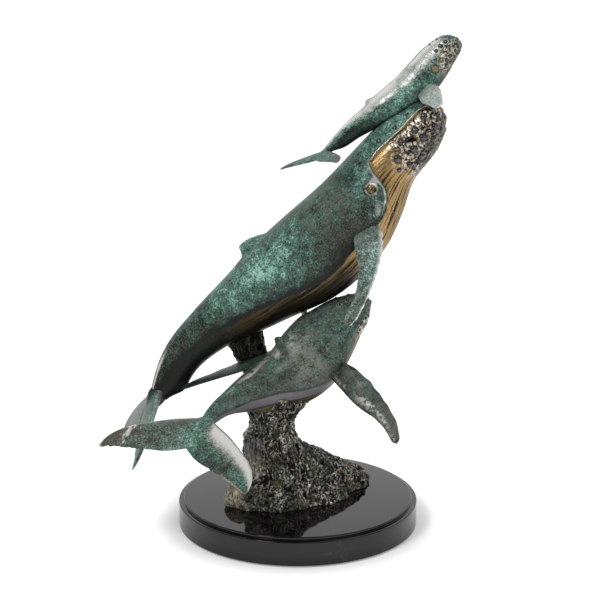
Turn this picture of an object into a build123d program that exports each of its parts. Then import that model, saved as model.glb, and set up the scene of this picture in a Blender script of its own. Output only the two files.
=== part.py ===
from build123d import *
import math
import os

# A cast bronze group of three humpback whales, mother, escort and calf, on a rock and a round
# marble base. Millimetres, +Z up, origin at the middle of the underside. The viewer stands at -Y.

# Marble base and the felt under it
BASE_RADIUS = 114.3
BASE_SIDE_HEIGHT = 23.5
STEP_INSET = 4.8
STEP_HEIGHT = 3.2
EDGE_ROUND = 1.2
FELT_THICKNESS = 1.5
FELT_INSET = 6.0

# Studs, washers and nuts that hold the rock down on the marble
STUD_DIAMETER = 8.0
STUD_SPACING = 44.0
STUD_ENGAGEMENT = 18.0
STUD_END_GAP = 2.0
STUD_PROUD = 1.0
STUD_HOLE_CLEARANCE = 0.5
BOSS_DIAMETER = 18.0
COUNTERBORE_DIAMETER = 26.0
COUNTERBORE_DEPTH = 12.0
WASHER_DIAMETER = 20.0
WASHER_THICKNESS = 1.6
NUT_ACROSS_FLATS = 13.0
NUT_HEIGHT = 6.5

# Rock: a pillar on a spreading foot, and a spur behind it that reaches the mother's belly
ROCK_HEIGHT = 127.0
ROCK_REACH = 60.0
ROCK_WALL = 7.0
ROCK_HOLLOW_HEIGHT = 62.0
PILLAR_OFFSET_X = -26.0
PILLAR_OFFSET_Y = -2.0
SPUR_RADIUS = 13.0

# Whales: nose to fluke root
MOTHER_LENGTH = 392.0
ESCORT_LENGTH = 211.0
CALF_LENGTH = 167.0

# Where the bodies sit: the escort on the pillar, the mother over the spur, the calf on her head
ESCORT_FORWARD = 20.0
ESCORT_TOWARDS_VIEWER = 10.0
MOTHER_RISE = 72.0
MOTHER_BACK = 33.0
MOTHER_SIDEWAYS = 32.0
CALF_SEAT_SINK = 0.8

# Castings, and the round spigots and pins that join them
MOTHER_WALL = 5.0
ESCORT_WALL = 4.5
CALF_WALL = 4.0
spigot_radii = {"mother": 2.8, "escort": 2.2, "calf": 1.4}
SPIGOT_DEPTH = 8.0
SOCKET_CLEARANCE = 0.15
PIN_RADIUS = 3.0
PIN_DEPTH = 9.0
CALF_PIN_RADIUS = 2.0
CALF_PIN_DEPTH = 7.0
OVERRUN = 2.0

# Flippers and flukes: reach, widest chord and thickness
MOTHER_FLIPPER_LENGTH = 112.0
MOTHER_FLIPPER_CHORD = 26.0
MOTHER_FLIPPER_THICKNESS = 9.0
ESCORT_FLIPPER_LENGTH = 96.0
ESCORT_FLIPPER_CHORD = 26.0
ESCORT_FLIPPER_THICKNESS = 7.5
CALF_FLIPPER_LENGTH = 42.0
CALF_FLIPPER_CHORD = 17.0
CALF_FLIPPER_THICKNESS = 5.5
MOTHER_FLUKE_SPAN = 166.0
MOTHER_FLUKE_THICKNESS = 10.0
ESCORT_FLUKE_SPAN = 164.6
ESCORT_FLUKE_THICKNESS = 9.0
CALF_FLUKE_SPAN = 73.2
CALF_FLUKE_THICKNESS = 5.0
FLIPPER_KNOBS = 7

# Spines in shares of the whale's length, from its seat: along, x, y, z, roll in degrees
mother_spine_shares = [
    (0.00, 0.450, -0.005, 0.447, 14),
    (0.05, 0.422, -0.005, 0.426, 16),
    (0.12, 0.373, -0.003, 0.372, 18),
    (0.22, 0.301, 0.000, 0.301, 20),
    (0.36, 0.209, 0.000, 0.189, 20),
    (0.50, 0.106, 0.000, 0.085, 16),
    (0.64, 0.000, 0.000, 0.000, 8),
    (0.78, -0.114, 0.000, -0.091, 4),
    (0.90, -0.196, 0.000, -0.182, 1),
    (1.00, -0.2424, -0.014, -0.264, -3),
]
escort_spine_shares = [
    (0.00, 0.351, 0.105, 0.312, 10),
    (0.05, 0.324, 0.096, 0.292, 10),
    (0.14, 0.266, 0.082, 0.240, 8),
    (0.28, 0.172, 0.053, 0.127, 4),
    (0.45, 0.043, 0.015, 0.022, 0),
    (0.62, -0.104, -0.047, -0.038, -6),
    (0.78, -0.222, -0.141, -0.067, -22),
    (0.90, -0.308, -0.236, -0.090, -34),
    (1.00, -0.376, -0.3375, -0.1225, -26),
]
calf_spine_shares = [
    (0.00, 0.314, 0.045, 0.299, 6),
    (0.05, 0.286, 0.039, 0.266, 6),
    (0.14, 0.215, 0.033, 0.189, 6),
    (0.28, 0.110, 0.014, 0.091, 4),
    (0.45, -0.022, -0.004, -0.018, 1),
    (0.62, -0.161, -0.022, -0.116, -1),
    (0.78, -0.289, -0.058, -0.187, -4),
    (0.90, -0.367, -0.119, -0.254, -5),
    (1.00, -0.4335, -0.206, -0.2935, -9),
]
MOTHER_SEAT_SHARE = 0.64
ESCORT_SEAT_SHARE = 0.50
CALF_SEAT_SHARE = 0.42
MOTHER_CROWN_SHARE = 0.065

# Girth in shares of the whale's length: along, half width, depth above and below the spine
mother_girth_shares = [
    (0.000, 0.008, 0.008, 0.010),
    (0.012, 0.024, 0.026, 0.022),
    (0.040, 0.042, 0.046, 0.036),
    (0.100, 0.062, 0.066, 0.056),
    (0.180, 0.078, 0.075, 0.070),
    (0.270, 0.092, 0.082, 0.104),
    (0.370, 0.102, 0.091, 0.131),
    (0.480, 0.104, 0.098, 0.131),
    (0.580, 0.092, 0.093, 0.110),
    (0.680, 0.072, 0.072, 0.089),
    (0.780, 0.050, 0.055, 0.065),
    (0.870, 0.033, 0.046, 0.050),
    (0.940, 0.022, 0.033, 0.040),
    (1.000, 0.014, 0.018, 0.018),
]
escort_girth_shares = [
    (0.000, 0.010, 0.010, 0.010),
    (0.012, 0.030, 0.030, 0.020),
    (0.040, 0.052, 0.054, 0.038),
    (0.100, 0.082, 0.088, 0.072),
    (0.180, 0.108, 0.134, 0.089),
    (0.270, 0.128, 0.172, 0.113),
    (0.370, 0.140, 0.176, 0.145),
    (0.480, 0.138, 0.155, 0.153),
    (0.580, 0.118, 0.113, 0.141),
    (0.680, 0.090, 0.098, 0.113),
    (0.780, 0.062, 0.084, 0.076),
    (0.870, 0.042, 0.072, 0.050),
    (0.940, 0.030, 0.056, 0.040),
    (1.000, 0.022, 0.030, 0.026),
]
calf_girth_shares = [
    (0.000, 0.012, 0.012, 0.012),
    (0.012, 0.030, 0.040, 0.030),
    (0.040, 0.046, 0.070, 0.046),
    (0.100, 0.066, 0.098, 0.066),
    (0.180, 0.084, 0.110, 0.090),
    (0.270, 0.097, 0.104, 0.109),
    (0.370, 0.101, 0.093, 0.101),
    (0.480, 0.097, 0.086, 0.083),
    (0.580, 0.085, 0.077, 0.070),
    (0.680, 0.066, 0.055, 0.076),
    (0.780, 0.047, 0.037, 0.072),
    (0.870, 0.032, 0.033, 0.054),
    (0.940, 0.023, 0.028, 0.025),
    (1.000, 0.016, 0.016, 0.018),
]
HOLLOW_START_SHARE = 0.12
HOLLOW_END_SHARE = 0.74

# The lower jaw stands proud of the upper one along the mouth: flare and lip height as shares
JAW_END_SHARE = 0.24
JAW_FLARE_SHARE = 0.05
JAW_LIP_SHARE = 0.22

# Dorsal fin sections: up, length and width, in shares of the fin
fin_level_shares = [(-0.6, 1.2, 1.2), (0, 1, 1), (0.5, 0.68, 0.72), (0.85, 0.40, 0.46), (1, 0.18, 0.22)]

# Dorsal fins: along the whale, and length, height, width and rake in shares of its length
mother_fin_shares = (0.564, 0.105, 0.022, 0.024, 0.018)
escort_fin_shares = (0.600, 0.085, 0.034, 0.028, 0.026)
calf_fin_shares = (0.600, 0.080, 0.016, 0.022, 0.014)

# Flippers in shares of their reach from the root on the skin: along, outwards, dorsal, back
mother_right_path_shares = [
    (0.00, -0.130, 0.080, -0.050),
    (0.20, 0.028, -0.097, 0.069),
    (0.43, 0.076, -0.243, 0.212),
    (0.55, 0.083, -0.306, 0.309),
    (0.68, 0.079, -0.358, 0.417),
    (0.80, 0.065, -0.392, 0.532),
    (0.92, 0.036, -0.413, 0.648),
    (1.00, 0.017, -0.417, 0.735),
]
mother_left_path_shares = [
    (0.00, -0.080, 0.010, -0.020),
    (0.20, 0.160, 0.020, 0.060),
    (0.45, 0.400, 0.060, 0.190),
    (0.65, 0.540, 0.090, 0.330),
    (0.80, 0.610, 0.110, 0.450),
    (1.00, 0.660, 0.130, 0.600),
]
escort_right_path_shares = [
    (0.00, -0.120, 0.020, 0.100),
    (0.20, 0.130, -0.205, 0.085),
    (0.45, 0.250, -0.420, 0.090),
    (0.65, 0.317, -0.575, 0.090),
    (0.80, 0.350, -0.715, 0.115),
    (1.00, 0.359, -0.895, 0.200),
]
escort_left_path_shares = [
    (0.00, -0.080, -0.010, 0.030),
    (0.15, 0.025, 0.065, 0.224),
    (0.33, -0.020, 0.170, 0.434),
    (0.50, -0.040, 0.257, 0.644),
    (0.70, -0.030, 0.355, 0.882),
    (0.85, 0.000, 0.418, 1.049),
    (1.00, 0.050, 0.462, 1.195),
]
calf_path_shares = [
    (0.00, -0.150, -0.020, 0.200),
    (0.20, 0.180, -0.120, 0.200),
    (0.45, 0.400, -0.230, 0.200),
    (0.65, 0.560, -0.310, 0.210),
    (0.80, 0.680, -0.380, 0.230),
    (1.00, 0.770, -0.430, 0.270),
]

# Chord along the flipper, in shares of its widest chord, and its thickness share
slim_chord_shares = [
    (0.00, 0.75, 1.00),
    (0.20, 1.00, 0.95),
    (0.43, 0.75, 0.82),
    (0.55, 0.60, 0.74),
    (0.68, 0.48, 0.64),
    (0.80, 0.43, 0.54),
    (0.92, 0.38, 0.42),
    (0.97, 0.30, 0.34),
    (1.00, 0.16, 0.24),
]
broad_chord_shares = [
    (0.00, 0.72, 1.00),
    (0.15, 0.92, 0.97),
    (0.30, 1.00, 0.90),
    (0.50, 0.86, 0.78),
    (0.65, 0.68, 0.66),
    (0.80, 0.52, 0.54),
    (0.92, 0.38, 0.42),
    (0.97, 0.28, 0.34),
    (1.00, 0.16, 0.24),
]
KNOB_SHARE = 0.075
LEADING_SHARE = 0.50
SPIGOT_START_SHARE = 0.12

# Flipper roots: share along the whale, and degrees round it from its back, right side positive
flipper_roots = {
    "mother_right_flipper": (0.335, 125),
    "mother_left_flipper": (0.335, -110),
    "escort_right_flipper": (0.300, 130),
    "escort_left_flipper": (0.360, -75),
    "calf_right_flipper": (0.270, 115),
    "calf_left_flipper": (0.280, -115),
}

# Way each leading edge faces, in shares of one outwards, dorsal and back
mother_right_lead_shares = (0, -0.73, -0.64)
escort_left_lead_shares = (1, 0.10, 0)
spread_lead_shares = (0.4, 0, -1)
swept_lead_shares = (0, 0, -1)

# Flukes in shares of half the span: across, leading edge back, trailing edge back, thickness
fluke_outline_shares = [
    (0.00, -0.060, 0.385, 1.00),
    (0.08, -0.055, 0.435, 0.98),
    (0.20, -0.010, 0.495, 0.88),
    (0.38, 0.066, 0.545, 0.72),
    (0.60, 0.190, 0.600, 0.56),
    (0.80, 0.325, 0.655, 0.44),
    (0.91, 0.440, 0.695, 0.36),
    (0.97, 0.545, 0.715, 0.28),
    (1.00, 0.640, 0.725, 0.18),
]
fluke_flex_degrees = {"mother": 2.2, "escort": 15, "calf": -1.5}

# Rock sections in shares of its height and reach: up, x, y, half length, half depth, turn
pillar_shares = [
    (0.00, 0.20, 0.06, 0.82, 0.68, 12),
    (0.10, 0.18, 0.06, 0.70, 0.56, 12),
    (0.22, 0.14, 0.05, 0.58, 0.48, 10),
    (0.38, 0.05, 0.03, 0.46, 0.41, 5),
    (0.55, -0.03, 0.00, 0.39, 0.35, 0),
    (0.70, 0.01, -0.06, 0.46, 0.42, 0),
    (0.90, 0.08, -0.14, 0.45, 0.38, 0),
]
ridge_shares = [
    (0.00, 0.88, 0.34, 0.74, 0.44, 26),
    (0.10, 0.86, 0.34, 0.66, 0.38, 26),
    (0.19, 0.72, 0.30, 0.52, 0.31, 24),
    (0.29, 0.52, 0.24, 0.36, 0.25, 20),
    (0.39, 0.30, 0.16, 0.22, 0.18, 20),
    (0.45, 0.18, 0.12, 0.12, 0.12, 20),
]
apron_shares = [
    (0.00, 0.68, -0.08, 0.62, 0.44, 24),
    (0.08, 0.64, -0.06, 0.54, 0.38, 24),
    (0.17, 0.56, -0.02, 0.42, 0.29, 24),
    (0.26, 0.44, 0.02, 0.28, 0.20, 24),
    (0.32, 0.36, 0.04, 0.16, 0.12, 24),
]
frond_shares = [
    (0.05, 0.10, -0.26, 0.24, 0.20, 0),
    (0.20, 0.00, -0.29, 0.22, 0.15, 0),
    (0.35, -0.17, -0.29, 0.20, 0.12, 0),
    (0.47, -0.26, -0.28, 0.17, 0.10, 0),
    (0.52, -0.27, -0.28, 0.14, 0.06, 0),
]
lump_shares = [
    (0.00, -0.53, -0.38, 0.18, 0.20, 0),
    (0.07, -0.54, -0.40, 0.19, 0.20, 0),
    (0.14, -0.53, -0.39, 0.14, 0.14, 0),
    (0.18, -0.52, -0.38, 0.07, 0.06, 0),
]
toe_shares = [
    (0.00, 0.00, -0.40, 0.70, 0.37, -2),
    (0.06, 0.00, -0.38, 0.64, 0.33, -2),
    (0.13, 0.00, -0.33, 0.52, 0.24, -2),
    (0.20, 0.00, -0.26, 0.36, 0.14, -2),
]

# Ribs up the rock: depth as a share of the section, and their lean in degrees over its height
RIB_SHARE = 0.055
RIB_LEAN_DEGREES = 50

# Spur: foot on the pillar as shares of the rock's height and reach, and its sections
spur_foot_shares = (0.48, 0.12, 0.54)
spur_section_shares = [
    (0.00, 1.10, 1.00),
    (0.30, 0.95, 0.90),
    (0.55, 1.00, 0.85),
    (0.75, 1.22, 0.95),
    (1.00, 1.35, 1.00),
]
MOTHER_SPUR_SHARE = 0.725
MOTHER_SPUR_DEGREES = -135

# Where pins cross the joints, in shares of the whale's length
TIE_ESCORT_SHARE = 0.26
TIE_ESCORT_DEGREES = -20
TIE_MOTHER_SHARE = 0.58
escort_pin_shares = (0.58, 0.68)
calf_pin_shares = (0.38, 0.46)

# Counts of points round a section
SKIN_POINTS = 16
ROCK_POINTS = 12
ROCK_RIBS = 9
RIB_POINTS = 4

base_top = FELT_THICKNESS + BASE_SIDE_HEIGHT + STEP_HEIGHT


def smooth(table, key):
    """Values at key on a smooth curve through the rows of a table (key, values...)."""
    keys = [row[0] for row in table]
    last = len(table) - 1

    def slope(low, high):
        return [(b - a) / (keys[high] - keys[low]) for a, b in zip(table[low][1:], table[high][1:])]

    def tangent(row):
        if row == 0:
            return slope(0, 1)
        if row == last:
            return slope(last - 1, last)
        before = keys[row] - keys[row - 1]
        after = keys[row + 1] - keys[row]
        pairs = zip(slope(row - 1, row), slope(row, row + 1))
        return [(a * after + b * before) / (before + after) for a, b in pairs]

    low = max(row for row in range(last) if row == 0 or keys[row] <= key)
    step = keys[low + 1] - keys[low]
    t = (key - keys[low]) / step
    weights = (2 * t**3 - 3 * t**2 + 1, (t**3 - 2 * t**2 + t) * step)
    weights += (3 * t**2 - 2 * t**3, (t**3 - t**2) * step)
    columns = zip(table[low][1:], tangent(low), table[low + 1][1:], tangent(low + 1))
    return [sum(w * v for w, v in zip(weights, column)) for column in columns]


def closed_curve(points):
    """A smooth closed wire with evenly spread parameters, so that lofts stay light."""
    count = len(points)
    parameters = [step / count for step in range(count + 1)]
    return Wire([Edge.make_spline(points, periodic=True, parameters=parameters)])


def rod(start, end, radius, clearance=0):
    """Round rod between two points, or the hole for it: wider, and longer at its far end."""
    run = (end - start).normalized()
    reach = (end - start).length + clearance
    return Solid.make_cylinder(radius + clearance, reach, Plane(start, z_dir=run))


class Whale:
    """One whale's spine, girth and place."""

    def __init__(self, length, seat, seat_share, spine_shares, girth_shares):
        self.length = length
        self.spine_shares = spine_shares
        self.girth_shares = girth_shares
        self.start = Vector(0, 0, 0)
        self.start = seat - self.point(seat_share)

    def point(self, along):
        x, y, z, roll = smooth(self.spine_shares, along)
        return self.start + Vector(x, y, z) * self.length

    def axes(self, along):
        """Forward, dorsal and left unit vectors of the body at a share of its length."""
        step_share = 0.001
        ahead = self.point(max(along - step_share, 0))
        behind = self.point(min(along + step_share, 1))
        forward = (ahead - behind).normalized()
        upright = forward.cross(Vector(0, 1, 0)).normalized()
        side = upright.cross(forward)
        roll = math.radians(smooth(self.spine_shares, along)[3])
        dorsal = upright * math.cos(roll) + side * math.sin(roll)
        return forward, dorsal, dorsal.cross(forward)

    def girth(self, along):
        """Half width, depth above the spine and depth below it."""
        return [share * self.length for share in smooth(self.girth_shares, along)]

    def skin(self, along, degrees, inset=0, flare=0, lip=1):
        """A point of the skin: 0 degrees on the back, 90 on the right flank, 180 on the belly."""
        forward, dorsal, left = self.axes(along)
        width, above, below = self.girth(along)
        turn = math.radians(degrees)
        depth = above * lip if math.cos(turn) > 0 else below * (1 + flare / 2)
        across = (width * (1 + flare) - inset) * math.sin(turn)
        return self.point(along) - left * across + dorsal * (depth - inset) * math.cos(turn)

    def ring(self, along, inset=0, flare=0, lip=1):
        turns = [360 * step / SKIN_POINTS for step in range(SKIN_POINTS)]
        return closed_curve([self.skin(along, turn, inset, flare, lip) for turn in turns])


def whale_form(whale, fin_shares):
    """Outer form of a whale: body, proud lower jaw and dorsal fin in one."""
    stations = [row[0] for row in whale.girth_shares]
    body = Solid.make_loft([whale.ring(along) for along in stations])
    jaw_stations = [along for along in stations if along < JAW_END_SHARE]
    flares = [JAW_FLARE_SHARE * (1 - along / JAW_END_SHARE) for along in jaw_stations]
    rings = [whale.ring(along, 0, flare, JAW_LIP_SHARE) for along, flare in zip(jaw_stations, flares)]
    jaw = Solid.make_loft(rings[1:])
    return body + jaw + dorsal_fin(whale, fin_shares)


def dorsal_fin(whale, fin_shares):
    """Low raked fin, lofted from inside the back to a narrow crest."""
    along, length_share, height_share, width_share, rake_share = fin_shares
    forward, dorsal, left = whale.axes(along)
    above = whale.girth(along)[1]
    rings = []
    for level, length_part, width_part in fin_level_shares:
        middle = whale.point(along) + dorsal * (above + level * height_share * whale.length)
        middle -= forward * max(level, 0) * rake_share * whale.length
        half_length = length_part * length_share * whale.length / 2
        half_width = width_part * width_share * whale.length / 2
        turns = [2 * math.pi * step / ROCK_POINTS for step in range(ROCK_POINTS)]
        points = [
            middle + forward * half_length * math.cos(turn) + left * half_width * math.sin(turn)
            for turn in turns
        ]
        rings.append(closed_curve(points))
    return Solid.make_loft(rings)


def whale_hollow(whale, wall):
    """Space inside the casting."""
    stations = [row[0] for row in whale.girth_shares if HOLLOW_START_SHARE < row[0] < HOLLOW_END_SHARE]
    return Solid.make_loft([whale.ring(along, wall) for along in stations])


def blade_ring(middle, lead, normal, front, rear, thickness):
    """Rounded blade section: full at the leading edge and thin at the trailing one."""
    half = thickness / 2
    outline_shares = [(1, 0), (0.72, 0.78), (0.2, 1), (-0.45, 0.72), (-0.86, 0.36)]
    outline_shares += [(-1, 0), (-0.86, -0.36), (-0.45, -0.72), (0.2, -1), (0.72, -0.78)]
    points = []
    for chord_share, side_share in outline_shares:
        reach = front if chord_share > 0 else rear
        points.append(middle + lead * reach * chord_share + normal * half * side_share)
    return closed_curve(points)


class Flipper:
    """One flipper: its root on a whale's skin, its path, its chord and its spigot."""

    def __init__(self, whale, root, path_shares, sizes, lead_shares, spigot_radius):
        along, degrees = root
        self.length, self.chord, self.thickness, self.chord_shares = sizes
        self.spigot_radius = spigot_radius
        forward, dorsal, left = whale.axes(along)
        outward = left if degrees < 0 else -left
        self.root = whale.skin(along, degrees)
        self.socket_end = whale.skin(along, degrees, SPIGOT_DEPTH)
        self.steps = (outward, dorsal, -forward)
        self.path_shares = path_shares
        self.lead = self.turned(lead_shares)

    def turned(self, shares):
        parts = [step * share for step, share in zip(self.steps, shares)]
        return parts[0] + parts[1] + parts[2]

    def point(self, along):
        return self.root + self.turned(smooth(self.path_shares, along)) * self.length

    def direction(self, along):
        step_share = 0.01
        ahead = self.point(min(along + step_share, 1))
        return (ahead - self.point(max(along - step_share, 0))).normalized()

    def form(self):
        """Blade with a knobbed leading edge."""
        count = 2 * FLIPPER_KNOBS + 1
        rings = []
        for step in range(count + 1):
            along = step / count
            run = self.direction(along)
            lead = (self.lead - run * self.lead.dot(run)).normalized()
            chord_share, thickness_share = smooth(self.chord_shares, along)
            chord = chord_share * self.chord
            knob = KNOB_SHARE * chord * (step % 2) * (step > 2)
            front = chord * LEADING_SHARE + knob
            rear = chord * (1 - LEADING_SHARE)
            thickness = thickness_share * self.thickness
            rings.append(blade_ring(self.point(along), lead, run.cross(lead), front, rear, thickness))
        return Solid.make_loft(rings, True)

    def spigot(self, clearance=0):
        """Round tenon from inside the blade through the skin, or its socket with a clearance."""
        start = self.point(SPIGOT_START_SHARE)
        return rod(start, self.socket_end, self.spigot_radius, clearance)


def fluke_axes(whale, flex_degrees):
    """Axes of the tail's end, bent down by the flex."""
    forward, dorsal, left = whale.axes(1)
    turn = math.radians(flex_degrees)
    flexed_forward = forward * math.cos(turn) + dorsal * math.sin(turn)
    return flexed_forward, left.cross(flexed_forward) * -1, left


def flukes_form(whale, span, thickness, flex_degrees):
    """Both fluke lobes in one loft from tip to tip, with the notch between them."""
    forward, dorsal, left = fluke_axes(whale, flex_degrees)
    tail = whale.point(1)
    half = span / 2
    stations = [-row[0] for row in reversed(fluke_outline_shares)]
    stations += [row[0] for row in fluke_outline_shares[1:]]
    rings = []
    for across in stations:
        front_share, rear_share, thickness_share = smooth(fluke_outline_shares, abs(across))
        middle_share = (front_share + rear_share) / 2
        reach = (rear_share - front_share) * half / 2
        middle = tail + left * across * half - forward * middle_share * half
        rings.append(blade_ring(middle, forward, dorsal, reach, reach, thickness * thickness_share))
    return Solid.make_loft(rings)


def flukes_spigot(whale, radius, clearance=0):
    """Round tenon from the middle of the flukes into the tail stock, or its socket."""
    forward = whale.axes(1)[0]
    tail = whale.point(1)
    return rod(tail - forward * SPIGOT_DEPTH, tail + forward * SPIGOT_DEPTH, radius, clearance)


def rock_form(section_shares, shrink=0, rib_share=0):
    """Loft through uneven oval sections, placed from the pillar's foot, with or without ribs."""
    count = ROCK_RIBS * RIB_POINTS if rib_share else ROCK_POINTS
    rings = []
    for up, x, y, half_length, half_depth, degrees in section_shares:
        middle = Vector(PILLAR_OFFSET_X, PILLAR_OFFSET_Y, base_top + up * ROCK_HEIGHT)
        middle += Vector(x, y, 0) * ROCK_REACH
        across = Vector(1, 0, 0).rotate(Axis.Z, degrees)
        along = Vector(0, 1, 0).rotate(Axis.Z, degrees)
        lean = math.radians(up * RIB_LEAN_DEGREES)
        points = []
        for step in range(count):
            turn = 2 * math.pi * step / count
            swell = 1 + rib_share * math.cos(ROCK_RIBS * (turn + lean))
            wide = (half_length * ROCK_REACH * swell - shrink) * math.cos(turn)
            deep = (half_depth * ROCK_REACH * swell - shrink) * math.sin(turn)
            points.append(middle + across * wide + along * deep)
        rings.append(closed_curve(points))
    return Solid.make_loft(rings)


stud_radius = STUD_DIAMETER / 2
foot_x = PILLAR_OFFSET_X + pillar_shares[0][1] * ROCK_REACH
foot_y = PILLAR_OFFSET_Y + pillar_shares[0][2] * ROCK_REACH
stud_places = [(foot_x - STUD_SPACING / 2, foot_y), (foot_x + STUD_SPACING / 2, foot_y)]


def rods(radius, low, high):
    """One upright rod at each stud's place."""
    solids = []
    for x, y in stud_places:
        plane = Plane((x, y, low))
        solids.append(Solid.make_cylinder(radius, high - low, plane))
    return solids


def marble_base():
    """Turned disc with a stepped upper edge, bored and counterbored for the studs."""
    side_top = FELT_THICKNESS + BASE_SIDE_HEIGHT
    disc = Solid.make_cylinder(BASE_RADIUS, BASE_SIDE_HEIGHT, Plane((0, 0, FELT_THICKNESS)))
    rim_edges = disc.edges().filter_by(GeomType.CIRCLE)
    disc = disc.fillet(EDGE_ROUND, rim_edges)
    step_plane = Plane((0, 0, side_top - OVERRUN))
    step = Solid.make_cylinder(BASE_RADIUS - STEP_INSET, STEP_HEIGHT + OVERRUN, step_plane)
    step_edges = step.edges().filter_by(GeomType.CIRCLE).sort_by(Axis.Z)
    step = step.fillet(EDGE_ROUND, step_edges[-1:])
    counterbore_top = FELT_THICKNESS + COUNTERBORE_DEPTH
    solid = disc + step
    for hole in rods(stud_radius + STUD_HOLE_CLEARANCE, 0, base_top + OVERRUN):
        solid -= hole
    for bore in rods(COUNTERBORE_DIAMETER / 2, 0, counterbore_top):
        solid -= bore
    return solid


def felt_pad():
    return Solid.make_cylinder(BASE_RADIUS - FELT_INSET, FELT_THICKNESS)


def rock_mound(escort_form):
    """Open-bottomed casting with two bosses for the studs, cut to the escort's belly."""
    solid = rock_form(pillar_shares, 0, RIB_SHARE)
    for shares in (ridge_shares, apron_shares, toe_shares):
        solid += rock_form(shares, 0, RIB_SHARE)
    for shares in (frond_shares, lump_shares):
        solid += rock_form(shares)
    hollow_rows = [row for row in pillar_shares if row[0] * ROCK_HEIGHT < ROCK_HOLLOW_HEIGHT]
    hollow = rock_form(hollow_rows, ROCK_WALL)
    for boss in rods(BOSS_DIAMETER / 2, base_top, base_top + ROCK_HEIGHT / 2):
        hollow -= boss
    solid -= hollow
    for hole in rods(stud_radius, base_top, base_top + STUD_ENGAGEMENT + STUD_END_GAP):
        solid -= hole
    return solid - escort_form


class Pin:
    """Round dowel across a joint, sunk to a depth on both sides."""

    def __init__(self, start, end, radius, depth):
        self.run = (end - start).normalized()
        self.start = start - self.run * depth
        self.end = end + self.run * depth
        self.radius = radius

    def form(self):
        return rod(self.start, self.end, self.radius)

    def socket(self):
        """Clearance hole, longer than the pin at both ends."""
        return rod(self.start - self.run * SOCKET_CLEARANCE, self.end, self.radius, SOCKET_CLEARANCE)


def cut(solid, *others):
    """The solid with every other one taken away."""
    for other in others:
        solid -= other
    return solid


def trimmed(solid, *others):
    """The main piece that is left of a solid when the others are taken away."""
    return cut(solid, *others).solids().sort_by(SortBy.VOLUME)[-1]


def spur_line(mother):
    """Foot and head of the spur: behind the pillar, and inside the mother's belly."""
    up, x_share, y_share = spur_foot_shares
    low = Vector(PILLAR_OFFSET_X, PILLAR_OFFSET_Y, base_top + up * ROCK_HEIGHT)
    low += Vector(x_share, y_share, 0) * ROCK_REACH
    return low, mother.skin(MOTHER_SPUR_SHARE, MOTHER_SPUR_DEGREES, SPUR_RADIUS)


def spur_form(mother):
    """Leaning spur of rock from the back of the pillar to the mother's belly."""
    low, high = spur_line(mother)
    run = (high - low).normalized()
    across = run.cross(Vector(0, 1, 0)).normalized()
    deep = across.cross(run)
    rings = []
    for up, wide_share, deep_share in spur_section_shares:
        middle = low + (high - low) * up
        points = []
        for step in range(ROCK_POINTS):
            turn = 2 * math.pi * step / ROCK_POINTS
            wide = across * wide_share * SPUR_RADIUS * math.cos(turn)
            points.append(middle + wide + deep * deep_share * SPUR_RADIUS * math.sin(turn))
        rings.append(closed_curve(points))
    return Solid.make_loft(rings)


def studs():
    low = FELT_THICKNESS + COUNTERBORE_DEPTH - WASHER_THICKNESS - NUT_HEIGHT - STUD_PROUD
    return rods(stud_radius, low, base_top + STUD_ENGAGEMENT)


def washers():
    high = FELT_THICKNESS + COUNTERBORE_DEPTH
    low = high - WASHER_THICKNESS
    plates = rods(WASHER_DIAMETER / 2, low, high)
    holes = rods(stud_radius + STUD_HOLE_CLEARANCE, low, high)
    return [plate - hole for plate, hole in zip(plates, holes)]


def nuts():
    high = FELT_THICKNESS + COUNTERBORE_DEPTH - WASHER_THICKNESS
    low = high - NUT_HEIGHT
    corner_radius = NUT_ACROSS_FLATS / 2 / math.cos(math.radians(30))
    solids = []
    for (x, y), hole in zip(stud_places, rods(stud_radius, low, high)):
        turns = [math.radians(60 * corner) for corner in range(6)]
        corners = [(x + corner_radius * math.cos(a), y + corner_radius * math.sin(a), low) for a in turns]
        hexagon = Face(Wire.make_polygon(corners))
        solids.append(Solid.extrude(hexagon, Vector(0, 0, NUT_HEIGHT)) - hole)
    return solids


# Places of the three whales
escort_seat = Vector(PILLAR_OFFSET_X, PILLAR_OFFSET_Y, base_top + ROCK_HEIGHT)
escort_seat += Vector(ESCORT_FORWARD, -ESCORT_TOWARDS_VIEWER, 0)
escort = Whale(ESCORT_LENGTH, escort_seat, ESCORT_SEAT_SHARE, escort_spine_shares, escort_girth_shares)
mother_seat = escort_seat + Vector(-MOTHER_SIDEWAYS, MOTHER_BACK, MOTHER_RISE)
mother = Whale(MOTHER_LENGTH, mother_seat, MOTHER_SEAT_SHARE, mother_spine_shares, mother_girth_shares)
crown_dorsal = mother.axes(MOTHER_CROWN_SHARE)[1]
calf_belly = smooth(calf_girth_shares, CALF_SEAT_SHARE)[2] * CALF_LENGTH
calf_lift = mother.girth(MOTHER_CROWN_SHARE)[1] + calf_belly - CALF_SEAT_SINK
calf_seat = mother.point(MOTHER_CROWN_SHARE) + crown_dorsal * calf_lift
calf = Whale(CALF_LENGTH, calf_seat, CALF_SEAT_SHARE, calf_spine_shares, calf_girth_shares)

# Outer forms of the three bodies
mother_form = whale_form(mother, mother_fin_shares)
escort_form = cut(whale_form(escort, escort_fin_shares), mother_form)
calf_form = cut(whale_form(calf, calf_fin_shares), mother_form)

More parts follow.
